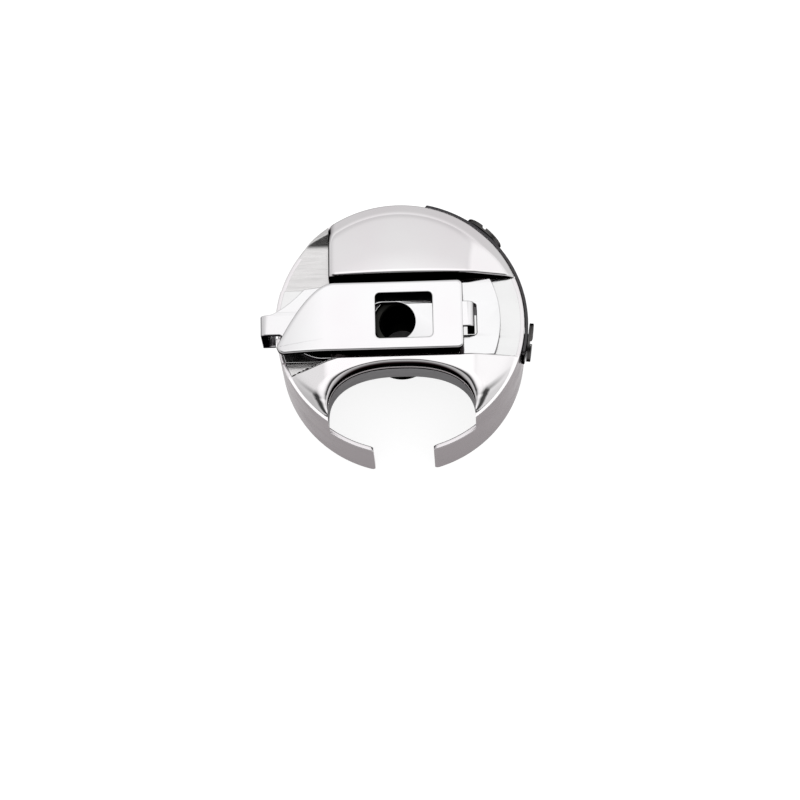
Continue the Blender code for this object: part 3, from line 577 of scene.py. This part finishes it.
boss_right_x = math.sqrt(case_radius ** 2 - channel_high_y ** 2) - 0.01
boss_x = boss_left_x + spread([boss_right_x - boss_left_x], 0.8, 0.3, 150)[0]
boss_width = np.sqrt(case_radius ** 2 - boss_x ** 2) - channel_high_y
boss_y = channel_high_y + spread(boss_width, 0.45, 0.3, 70)
boss_x = np.broadcast_to(boss_x[:, None], boss_y.shape)
slope = (channel_z + crown_rise - 0.8) - slope_fall * (boss_x - slope_x) - 0.12 * (boss_y - 5)
boss_z = soft_min(turned_top(boss_x, boss_y), slope, 0.12)
boss_z = boss_z - edge_drop(boss_y - channel_high_y, 0.40) - edge_drop(boss_x - boss_left_x, 0.75)
boss_z = boss_z - edge_drop(case_radius - np.hypot(boss_x, boss_y), 0.15)
boss_z = np.maximum(boss_z, channel_z)
upper = block(np.stack([boss_x, boss_y, boss_z], axis=-1), rim_z - 0.01)
build("upper_boss", [upper], "case", case_plate, "case_body")

# ---------------------------------------------------------------------------------------------------------
# The lower boss: the flat bridge between the channel and the arch, sloping off to both sides. The arch's
# edge is flared and buffed bright, narrowly at its top and broadly at its feet.
# ---------------------------------------------------------------------------------------------------------
bridge_z = channel_z + 2.0
bridge_flat = 8.0
bridge_fall = 1.7 / 5.2


def ray_lengths(start, along):
    """How far each ray from a point runs to the case's circle, to the channel's edge and to the line that cuts
    the boss back at its finger end; the shortest of the three."""
    dot = along @ start
    to_circle = -dot + np.sqrt(dot ** 2 - start @ start + case_radius ** 2)
    rising = np.maximum(along[:, 1], 1e-6)
    to_channel = (channel_low_y - start[1]) / rising
    edge = flare_to - flare_from
    outwards = np.array([edge[1], -edge[0]])
    facing = along @ outwards
    to_flare = ((flare_from - start) @ outwards) / np.where(facing > 1e-6, facing, np.inf)
    to_flare = np.where(to_flare <= 0, np.inf, to_flare)
    return np.minimum(np.minimum(to_circle, to_channel), to_flare)


arch_points = arch_curve(180)
fan_centre = np.array([0.0, arch_corner_y])
arch_reach = np.linalg.norm(arch_points - fan_centre, axis=1)
ray = (arch_points - fan_centre) / arch_reach[:, None]
bridge_reach = ray_lengths(fan_centre, ray)
bridge_width = np.maximum(bridge_reach - arch_reach, 0)
side_share = np.clip(np.abs(arch_points[:, 0]) / arch_half, 0, 1)
flare_width = (0.46 + 1.5 * side_share ** 5)[:, None]
flare_width = np.minimum(flare_width, 0.6 * bridge_width[:, None] + 1e-3)
ledge_z = channel_z + 0.4
fan = spread(bridge_width, flare_width, 0.3, 40)
bridge_x = fan_centre[0] + ray[:, :1] * (arch_reach[:, None] + fan)
bridge_y = fan_centre[1] + ray[:, 1:] * (arch_reach[:, None] + fan)
bridge_side = bridge_z - bridge_fall * (np.abs(bridge_x) - bridge_flat)
bridge_top = soft_min(turned_top(bridge_x, bridge_y), bridge_side, 0.6)
bridge_top = soft_min(bridge_top, np.full_like(bridge_x, bridge_z), 0.12)
to_flare_line = ((flare_from - np.stack([bridge_x, bridge_y], axis=-1)) @ np.array(
    [flare_to[1] - flare_from[1], flare_from[0] - flare_to[0]])) / np.linalg.norm(flare_to - flare_from)
bridge_top = bridge_top - edge_drop(channel_low_y - bridge_y, 0.20)
bridge_top = bridge_top - edge_drop(np.where(to_flare_line > 0, to_flare_line, 9), 0.30)
bridge_top = bridge_top - edge_drop(case_radius - np.hypot(bridge_x, bridge_y), 0.15)
flare_depth = np.clip(bridge_top[:, :1] - ledge_z - 0.3, 0.05, 1.2)
inside = 1 - np.clip(fan / flare_width, 0, 1)
bridge_top = bridge_top - flare_depth * (1 - np.sqrt(1 - inside ** 2))
bridge_top = np.maximum(bridge_top, ledge_z + 0.02)
lower = block(np.stack([bridge_x, bridge_y, bridge_top], axis=-1), ledge_z)
ledge_line = np.concatenate([np.stack([bridge_x[:, -1], bridge_y[:, -1]], axis=1), arch_points[::-1]])
ledge_line = ledge_line[::3]
ledge = plate([ledge_line], rim_z - 0.01, ledge_z, 0.02, 1)
build("arch_ledge", [ledge], "case", wall_plate_painted_shade, "case_body")
build("lower_boss", [lower], "case", case_plate, "case_body")

# ---------------------------------------------------------------------------------------------------------
# The hollows at the finger's end: a cutter has left a trough beside each boss there, and its far side curves
# up to the bevel. They are cut after the polishing, so the cutter's marks still show.
# ---------------------------------------------------------------------------------------------------------
trough_steel = milled("trough_steel", (0.55, 0.54, 0.54), 0.20, grain=0.35, stretch=(300, 3500, 300))
hollow_foot_y, hollow_slope = 8.8, 0.85
trough_x = np.linspace(-math.sqrt(case_radius ** 2 - trough_low_y ** 2) + 0.02, boss_left_x + 0.02, 60)
trough_width = np.sqrt(case_radius ** 2 - trough_x ** 2) - trough_low_y
trough_y = trough_low_y + spread(trough_width, 0.05, 0.2, 60)
trough_x = np.broadcast_to(trough_x[:, None], trough_y.shape)
past_foot = trough_y - hollow_foot_y
hollow = trough_z + 0.5 * hollow_slope * (past_foot + np.sqrt(past_foot ** 2 + 0.15)) - 0.01
trough_top = soft_min(hollow, turned_top(trough_x, trough_y), 0.25)
trough_top = trough_top - edge_drop(case_radius - np.hypot(trough_x, trough_y), 0.15)
trough = block(np.stack([trough_x, trough_y, np.maximum(trough_top, trough_z)], axis=-1), head_z)
build("upper_trough", [trough], "case", trough_steel, "case_body")

low_x = np.linspace(-math.sqrt(case_radius ** 2 - channel_low_y ** 2), flare_from[0], 50)
flare_run = flare_to[0] - flare_from[0]
cut_y = flare_from[1] + (flare_to[1] - flare_from[1]) * (low_x - flare_from[0]) / flare_run
cut_y = np.maximum(cut_y, -np.sqrt(case_radius ** 2 - low_x ** 2)) - 0.02
low_width = channel_low_y - cut_y
low_y = cut_y[:, None] + spread(np.maximum(low_width, 0.01), 0.1, 0.05, 24)
low_x = np.broadcast_to(low_x[:, None], low_y.shape)
low_top = trough_z + 0.35 * np.clip((low_x + 11.5) / 5, 0, 1)
low_top = low_top - edge_drop(case_radius - np.hypot(low_x, low_y), 0.15)
lower_trough = block(np.stack([low_x, low_y, np.maximum(low_top, trough_z)], axis=-1), head_z)
build("lower_trough", [lower_trough], "case", trough_steel, "case_body")

# ---------------------------------------------------------------------------------------------------------
# The centre tube: the post that the bobbin turns on, turned and ground, with a spigot pressed in the web.
# ---------------------------------------------------------------------------------------------------------
tube_radius, spigot_radius, tube_bore = tube_high.x, 2.9, 2.1


def turned_ring(profile, count):
    """A closed profile of (radius, height) points carried round the case's axis."""
    profile = np.asarray(profile, float)
    turn = np.linspace(0, 2 * np.pi, count, endpoint=False)[:, None]
    radius, height = profile[None, :, 0], profile[None, :, 1]
    points = np.stack([radius * np.cos(turn), radius * np.sin(turn), height + 0 * turn], axis=-1)
    joined = np.concatenate([points, points[:1]])
    return joined, quads(count + 1, len(profile), loop=True)


# The post is coloured near black: painted shade, so that its bore reads as dark as the shade down inside it.
tube_painted_shade = milled("tube_painted_shade", (0.025, 0.025, 0.023), 0.28, grain=0.05, stretch=(300, 300, 4000))
chamfer = 0.15
tube_profile = [
    (spigot_radius - chamfer, tube_high.z), (spigot_radius, tube_high.z - chamfer),
    (spigot_radius, cavity_z - 0.05),
    (tube_radius - chamfer, cavity_z - 0.05), (tube_radius, cavity_z - 0.05 - chamfer),
    (tube_radius, tube_low.z + 0.3), (tube_radius - 0.1, tube_low.z + 0.1), (tube_radius - 0.3, tube_low.z),
    (tube_bore + chamfer, tube_low.z), (tube_bore, tube_low.z + chamfer), (tube_bore, tube_high.z - chamfer),
    (tube_bore + chamfer, tube_high.z)]
build("bobbin_post", [turned_ring(tube_profile, 128)], "case", tube_painted_shade, "centre_tube")

# ---------------------------------------------------------------------------------------------------------
# The slide: a hardened plate that locks the case on the hook's post. Its slot takes the post, its bent end
# is the finger outside the wall, and its two ears carry the hinge pin. Pressed, tumbled and plated.
# ---------------------------------------------------------------------------------------------------------
slide_low, slide_high = [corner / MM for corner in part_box("latch_slide")]
pin_low, pin_high = [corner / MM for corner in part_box("hinge_pin")]
lever_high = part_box("latch_lever")[1] / MM
pivot_x = (pin_low.x + pin_high.x) / 2
pivot_z = (pin_low.z + pin_high.z) / 2
slide_z = channel_z + 0.05
slide_top = slide_z + 0.75
finger_low, finger_high = -1.15, 1.1
finger_x = slide_low.x + 0.75
slide_round = slide_high.x
# Its side colour paints shade on the upright faces of the slide, the finger and the ears.
latch_plate = polished("latch_plate", (0.64, 0.64, 0.645), (0.62, 0.59, 0.61), 0.08,
                       side=(0.10, 0.095, 0.10))


def on_side(shell):
    """A plate drawn in X and Y, stood up so that its outline lies in X and Z."""
    points, faces = shell
    return np.stack([points[:, 0], -points[:, 2], points[:, 1]], axis=1), faces


def curve_through(start, pull, end, count):
    """A quadratic Bezier curve."""
    t = np.linspace(0, 1, count)[:, None]
    return np.array(start) * (1 - t) ** 2 + np.array(pull) * 2 * t * (1 - t) + np.array(end) * t ** 2


slide_low_y, slide_high_y = channel_low_y + 0.12, channel_high_y - 0.12
arc_low = math.degrees(math.asin(slide_low_y / slide_round))
arc_high = math.degrees(math.asin(slide_high_y / slide_round))
slide_outline = np.concatenate([
    circle(slide_round, arc_low, arc_high, 60),
    [(7.2, slide_high_y), (6.8, 4.25), (finger_x + 7.1, 4.25), (finger_x + 4.1, 3.9)],
    curve_through((finger_x + 4.0, 3.85), (finger_x + 2.4, 2.2), (finger_x + 1.1, 1.5), 12),
    curve_through((finger_x + 1.05, 1.48), (finger_x + 0.5, finger_high), (finger_x - 0.05, finger_high), 8),
    [(finger_x - 0.05, finger_low), (finger_x + 1.3, finger_low)],
    curve_through((finger_x + 1.5, finger_low - 0.1), (finger_x + 4.0, slide_low_y),
                  (finger_x + 6.0, slide_low_y), 12)])
slot_half = 2.15
post_slot = np.concatenate([circle(slot_half, 90, 270, 40, (-1.7, 0)),
                            circle(slot_half, -90, 90, 40, (-0.45, 0))])
tail_slot = oblong(5.6, -1.75, 8.3, 1.75, 0.25)
slide_plate = plate([slide_outline, post_slot, tail_slot], slide_z, slide_top, 0.10)
outer_bend = 0.75
finger_side = np.concatenate([
    circle(outer_bend, 90, 180, 12, (finger_x, slide_top - outer_bend - 0.01)),
    [(slide_low.x, slide_low.z), (finger_x + 0.65, slide_low.z), (finger_x + 0.65, slide_low.z + 0.55),
     (finger_x + 0.2, slide_low.z + 0.55)],
    circle(0.2, 270, 180, 4, (finger_x + 0.2, slide_low.z + 0.75)),
    [(finger_x, slide_z - 0.2)], circle(0.2, 180, 90, 4, (finger_x + 0.2, slide_z - 0.19)),
    [(finger_x + 0.7, slide_z + 0.01), (finger_x + 0.7, slide_top - 0.01)]])
finger = on_side(plate([finger_side], -finger_high, -finger_low, 0.10))
ear_foot = slide_top - 0.2
ear_side = np.concatenate([circle(0.6, 0, 180, 24, (pivot_x, pivot_z)),
                           [(pivot_x - 0.6, ear_foot), (pivot_x + 0.6, ear_foot)]])
pin_hole = circle(0.45, count=33, centre=(pivot_x, pivot_z))[:-1]
ears = [on_side(plate([ear_side, pin_hole], low, low + 0.8, 0.06)) for low in (2.17, -2.97)]
lug = on_side(plate([oblong(-9.3, slide_z - 1.7, -8.6, slide_z + 0.3, 0.1)], -0.75, 0.75, 0.06))
build("latch_plate", [slide_plate, finger, lug] + ears, "slide", latch_plate, "latch_slide")

# ---------------------------------------------------------------------------------------------------------
# The lever: pressed from sheet, with a window over the post's slot, a side folded down along each edge and a
# tail folded down past the pin. Its tip is bent down a little, and every edge is buffed round.
# ---------------------------------------------------------------------------------------------------------
lever_z = lever_high.z
lever_thick = 0.8
lever_half = lever_high.y
lever_end = pivot_x + 0.9
window = (-2.55, -2.55, 3.6, 2.5)
lever_plate = polished("lever_plate", (0.66, 0.66, 0.665), (0.64, 0.61, 0.63), 0.06, haze=0.04)


def along_line(points, count):
    """Points set evenly along a line of straight runs, its last point left out."""
    points = np.asarray(points, float)
    steps = np.concatenate([[0], np.cumsum(np.linalg.norm(np.diff(points, axis=0), axis=1))])
    at = np.linspace(0, steps[-1], count, endpoint=False)
    return np.stack([np.interp(at, steps, points[:, 0]), np.interp(at, steps, points[:, 1])], axis=1)


def lever_height(x):
    """The lever's top face: flat, then falling by a power of the distance towards its tip."""
    bend = np.clip((-8.0 - x) / (case_radius + 1.0 - 8.0), 0, None)
    return lever_z - 1.1 * bend ** 1.6


counts = (70, 110, 120, 150)
corner = 0.6
outer_sides = [
    np.concatenate([circle(corner, 315, 360, 8, (lever_end - corner, corner - lever_half)),
                    circle(corner, 0, 45, 8, (lever_end - corner, lever_half - corner))]),
    np.concatenate([circle(corner, 45, 90, 8, (lever_end - corner, lever_half - corner)),
                    [(-6.9, lever_half)]]),
    np.concatenate([curve_through((-6.9, lever_half), (-9.6, lever_half + 0.08), (-13.3, -3.0), 60),
                    circle(0.85, 200, 270, 12, (-12.4, 0.85 - lever_half))]),
    np.concatenate([[(-12.4, -lever_half)],
                    circle(corner, 270, 315, 8, (lever_end - corner, corner - lever_half))])]
x0, y0, x1, y1 = window
nook = 0.5
window_corners = [(x1 - nook, y0 + nook), (x1 - nook, y1 - nook), (x0 + nook, y1 - nook),
                  (x0 + nook, y0 + nook)]
window_sides = []
for quarter, before in enumerate(window_corners):
    after = window_corners[(quarter + 1) % 4]
    turn_from = (315 + 90 * quarter) % 360
    window_sides.append(np.concatenate([circle(nook, turn_from, turn_from + 45, 8, before),
                                        circle(nook, 90 * quarter, 90 * quarter + 45, 8, after)]))
rim_line = np.concatenate([along_line(side, n) for side, n in zip(outer_sides, counts)])
window_line = np.concatenate([along_line(side, n) for side, n in zip(window_sides, counts)])
rim_in, window_in = inward(rim_line), -inward(window_line)
fold = 0.78
top_round, low_round, window_round = 0.30, 0.12, 0.12
inset, drop = round_edge(top_round, 6)
low_inset, low_drop = round_edge(low_round, 3)
hole_inset, hole_drop = round_edge(window_round, 3)
across = np.linspace(0, 1, 41)[:, None, None]
from_window = window_line + window_in * window_round
to_rim = rim_line + rim_in * top_round
top_rows = from_window + (to_rim - from_window) * across
rim_rows = rim_line + rim_in * inset[1:, None, None]
under_start = rim_line + rim_in * fold
under_rows = under_start + (from_window - under_start) * np.linspace(0, 1, 21)[:, None, None]
side_level = lever_height(rim_line[:, 0]) - lever_thick
at_side = np.abs(rim_line[:, 1]) > lever_half - 0.02
on_fold = at_side & (rim_line[:, 0] > -8.0) & (rim_line[:, 0] < pivot_x + 0.72)
fold_low = np.clip(pivot_z - 0.72 + (-5.8 - rim_line[:, 0]) * 0.85, pivot_z - 0.72, None)
hinge_part = np.clip(rim_line[:, 0] - pivot_x, 0, 0.72)
fold_low = np.where(rim_line[:, 0] > pivot_x, pivot_z - np.sqrt(0.72 ** 2 - hinge_part ** 2), fold_low)
rim_low = np.where(on_fold, np.minimum(fold_low, side_level), side_level)


def levelled(rows, depth):
    """Rows of plan points given the lever's height at their X, less a depth."""
    height = lever_height(rows[..., 0]) - depth
    return np.concatenate([rows, height[..., None]], axis=-1)


def at_level(rows, level):
    """Rows of plan points at given levels."""
    return np.concatenate([rows, np.broadcast_to(level, rows.shape[:2])[..., None]], axis=-1)


lever_rows = np.concatenate([
    levelled(top_rows, 0.0), levelled(rim_rows, drop[1:, None]),
    at_level(rim_line + rim_in * low_inset[::-1, None, None], rim_low + low_drop[::-1, None]),
    at_level((rim_line + rim_in * (fold - 0.05))[None], rim_low),
    at_level((rim_line + rim_in * fold)[None], rim_low + 0.05),
    levelled(under_rows, lever_thick),
    levelled(window_line + window_in * hole_inset[1:, None, None], lever_thick - hole_drop[1:, None]),
    levelled(window_line + window_in * hole_inset[::-1, None, None][:-1], hole_drop[::-1, None][:-1])])
ring_count = len(lever_rows)
lever_faces = quads(ring_count + 1, lever_rows.shape[1], loop=True)
lever_shell = (np.concatenate([lever_rows, lever_rows[:1]]), lever_faces)
tail_x = pivot_x + 1.3
tail_top = lever_z - 0.12
tail_outer = tail_x + lever_thick
tail_side = np.concatenate([
    [(pivot_x + 0.2, tail_top - 0.6), (pivot_x + 0.2, tail_top)],
    circle(0.85, 90, 0, 12, (tail_outer - 0.85, tail_top - 0.85)),
    [(tail_outer, pivot_z - 2.0), (tail_x, pivot_z - 2.0)],
    circle(0.15, 0, 90, 4, (tail_x - 0.15, tail_top - 0.75))])
tail = on_side(plate([tail_side], -1.4, 1.4, 0.12))
build("latch_lever_skin", [lever_shell, tail], "lever", lever_plate, "latch_lever", sharp=40.0)

# ---------------------------------------------------------------------------------------------------------
# The hinge pin: a length of ground rod, its ends just under the lever's sides.
# ---------------------------------------------------------------------------------------------------------
pin_steel = milled("pin_steel", (0.50, 0.49, 0.49), 0.25, grain=0.05, stretch=(3000, 300, 3000))
pin_end = circle((pin_high.x - pin_low.x) / 2, count=41, centre=(pivot_x, pivot_z))[:-1]
pin = on_side(plate([pin_end], pin_low.y, pin_high.y, 0.08))
build("pin_rod", [pin], "slide", pin_steel, "hinge_pin")

# ---------------------------------------------------------------------------------------------------------
# The return spring: hard-drawn wire wound to a coil that lies in its groove under the slide.
# ---------------------------------------------------------------------------------------------------------
coil_low, coil_high = [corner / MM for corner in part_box("latch_spring")]
wire = 0.14
coil_radius = (coil_high.y - coil_low.y) / 2 - wire
turns = 8
coil_steel = milled("coil_steel", (0.32, 0.32, 0.33), 0.25, grain=0.05, stretch=(500, 500, 500))
turn = np.linspace(0, 2 * np.pi * turns, turns * 36 + 1)[:, None]
coil_start, coil_end = coil_low.x + wire, coil_high.x - wire
coil_z = (coil_low.z + coil_high.z) / 2
pitch = (coil_end - coil_start) / (2 * np.pi * turns)
outwards = np.concatenate([0 * turn, np.cos(turn), np.sin(turn)], axis=1)
centre = np.concatenate([coil_start + pitch * turn, 0 * turn, coil_z + 0 * turn], axis=1)
centre = centre + coil_radius * outwards
along = np.concatenate([pitch + 0 * turn, -coil_radius * np.sin(turn), coil_radius * np.cos(turn)], axis=1)
along /= np.linalg.norm(along, axis=1, keepdims=True)
beside = np.cross(along, outwards)
ring = np.linspace(0, 2 * np.pi, 12, endpoint=False)[None, :, None]
coil_points = centre[:, None] + wire * (np.cos(ring) * outwards[:, None] + np.sin(ring) * beside[:, None])
coil_count = len(coil_points)
coil_ends = [list(range(12)), list(range((coil_count - 1) * 12, coil_count * 12))]
coil = build("return_coil", [(coil_points, quads(coil_count, 12, loop=True) + coil_ends)], "case", coil_steel,
             "latch_spring")
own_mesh(coil)

# ---------------------------------------------------------------------------------------------------------
# The tension spring: a strip of polished spring steel, coloured near black, screwed to the wall. The thread
# runs under it, and leaves by the tongue at its free end.
# ---------------------------------------------------------------------------------------------------------
# Its upright faces, most of the strip, get reflections dimmed by the side tint: painted shade.
leaf_steel = polished("leaf_steel", (0.05, 0.048, 0.05), (0.035, 0.033, 0.038), 0.18, haze=0.10,
                      side=(0.05, 0.048, 0.05))
leaf_inner = case_radius + 0.06
leaf_outer = leaf_inner + 0.35
screw_z = cavity_z + 1.1
leaf_from, leaf_to = -16, 88
leaf_angles = np.radians(np.linspace(leaf_from, leaf_to, 157))
tongue = np.clip((np.degrees(leaf_angles) - 76.5) / 1.5, 0, 1)
tongue = tongue ** 2 * (3 - 2 * tongue)
leaf_half = (leaf_high.z - leaf_low.z) / 2 + (1.1 - (leaf_high.z - leaf_low.z) / 2) * tongue
foot = np.clip((np.degrees(leaf_angles) - leaf_from) / 2.5, 0, 1)
leaf_half = leaf_half - edge_drop(foot * 0.6, 0.6)
leaf = band(lambda radius: leaf_angles, screw_z - leaf_half, screw_z + leaf_half, leaf_inner, leaf_outer,
            0.07)
build("tension_leaf", [leaf], "case", leaf_steel, "tension_spring")

# ---------------------------------------------------------------------------------------------------------
# The two slotted screws in the wall: one fixes the tension spring, and the other sets how hard it presses.
# Turned from bar, with the slot sawn across.
# ---------------------------------------------------------------------------------------------------------
screw_steel = milled("screw_steel", (0.075, 0.072, 0.072), 0.22, grain=0.08, stretch=(900, 900, 900))
head_under, head_top = leaf_outer + 0.05, leaf_outer + 0.50


def slotted_screw(angle, head_radius, slot_turn):
    """Shells of a screw along its own Z, carried to its place on the wall: shank, head, two half-moon tops."""
    half = 0.25
    reach = math.degrees(math.asin(half / head_radius))
    moon = circle(head_radius, reach, 180 - reach, 48)
    shells = [plate([circle(0.9, count=41)[:-1]], head_under - 2.4, head_under + 0.1, 0.05),
              plate([circle(head_radius, count=97)[:-1]], head_under, head_top - 0.25, 0.03),
              plate([moon], head_top - 0.28, head_top, 0.08), plate([-moon], head_top - 0.28, head_top, 0.08)]
    place = (Matrix.Rotation(math.radians(angle), 4, "Z") @ Matrix.Translation((0, 0, screw_z))
             @ Matrix.Rotation(math.radians(90), 4, "Y") @ Matrix.Rotation(math.radians(slot_turn), 4, "Z"))
    turn = np.array(place.to_3x3())
    return [(points @ turn.T + np.array(place.translation), faces) for points, faces in shells]


fixing_angle, tension_angle = -7.5, 48.75
build("fixing_screw_head", slotted_screw(fixing_angle, 2.1, 20), "case", screw_steel,
      "fixing_screw")
build("tension_screw_head", slotted_screw(tension_angle, 2.3, 0), "tension_screw", screw_steel,
      "tension_screw")

# ---------------------------------------------------------------------------------------------------------
# The studio: a pale floor, a bright tent overhead that turns dark low down on the camera's side, and the
# camera itself, nearly over the latch and turned a little.
# ---------------------------------------------------------------------------------------------------------
scene = bpy.context.scene
scene.view_settings.view_transform = "Standard"

floor_mesh = bpy.data.meshes.new("floor")
reach = 3.0
floor_corners = [(-reach, -reach, 0), (reach, -reach, 0), (reach, reach, 0), (-reach, reach, 0)]
floor_mesh.from_pydata(floor_corners, [], [[0, 1, 2, 3]])
floor = bpy.data.objects.new("floor", floor_mesh)
scene.collection.objects.link(floor)
floor.location.z = case_low.z * MM - 0.00002
pale = bpy.data.materials.new("pale_floor")
pale.use_nodes = True
pale_shader = pale.node_tree.nodes["Principled BSDF"]
pale_shader.inputs["Base Color"].default_value = (0.30, 0.30, 0.30, 1)
pale_shader.inputs["Roughness"].default_value = 1.0
pale_shader.inputs["Specular IOR Level"].default_value = 0.0
pale_shader.inputs["Emission Color"].default_value = (1, 1, 1, 1)
# The floor's glow stops in a disc under the post: a painted shadow, so the floor seen down the bore reads
# dark.
shade = pale.node_tree.nodes.new("ShaderNodeVectorMath")
shade.operation = "DISTANCE"
shade.inputs[1].default_value = (0, 4.0 * MM, 0)
pale.node_tree.links.new(pale.node_tree.nodes.new("ShaderNodeTexCoord").outputs["Object"], shade.inputs[0])
glow_with_painted_shadow = remap(pale.node_tree, shade.outputs["Value"], 3.5 * MM, 5.5 * MM, 0.0, 0.85)
pale.node_tree.links.new(glow_with_painted_shadow, pale_shader.inputs["Emission Strength"])
floor_mesh.materials.append(pale)

world = bpy.data.worlds.new("tent")
scene.world = world
world.use_nodes = True
sky = world.node_tree
direction = sky.nodes.new("ShaderNodeTexCoord").outputs["Generated"]
parts = sky.nodes.new("ShaderNodeSeparateXYZ")
sky.links.new(direction, parts.inputs[0])
wide = remap(sky, parts.outputs["Z"], 0.20, 0.80, 0.90, 1.12)
ceiling = remap(sky, parts.outputs["Z"], 0.80, 0.965, 0.0, 0.40)
beside = remap(sky, parts.outputs["X"], 0.40, 0.56, 0.0, 0.30)
overhead = chain(sky, "ADD", [wide, ceiling, beside])
band_low = remap(sky, parts.outputs["Z"], 0.24, 0.36, 0.0, 1.0)
band_high = remap(sky, parts.outputs["Z"], 0.62, 0.84, 1.0, 0.0)
near_side = remap(sky, parts.outputs["Y"], -0.45, -0.05, 0.94, 0.0)
dark = chain(sky, "MULTIPLY", [band_low, band_high, near_side])
keep = sky.nodes.new("ShaderNodeMath")
keep.operation = "SUBTRACT"
keep.inputs[0].default_value = 1.0
sky.links.new(dark, keep.inputs[1])
tent = chain(sky, "MULTIPLY", [keep.outputs[0], overhead])
sky.nodes["Background"].inputs["Color"].default_value = (1, 1, 1, 1)
sky.links.new(tent, sky.nodes["Background"].inputs["Strength"])

camera_data = bpy.data.cameras.new("camera")
camera = bpy.data.objects.new("camera", camera_data)
scene.collection.objects.link(camera)
scene.camera = camera
elevation, azimuth, roll, distance = math.radians(73.96), math.radians(4.73), math.radians(6.14), 0.396
aim = Vector((-0.00045, -0.0051, 0))
outward = Vector((math.cos(elevation) * math.sin(azimuth), -math.cos(elevation) * math.cos(azimuth),
                  math.sin(elevation)))
right = Vector((math.cos(azimuth), math.sin(azimuth), 0))
up = outward.cross(right)
turned_right = right * math.cos(roll) - up * math.sin(roll)
turned_up = right * math.sin(roll) + up * math.cos(roll)
camera.matrix_world = Matrix.Translation(aim + outward * distance) @ Matrix(
    (turned_right, turned_up, outward)).transposed().to_4x4()
camera_data.lens = 160.1
camera_data.sensor_width = 36.0
camera_data.clip_start = 0.01
camera_data.clip_end = 10.0
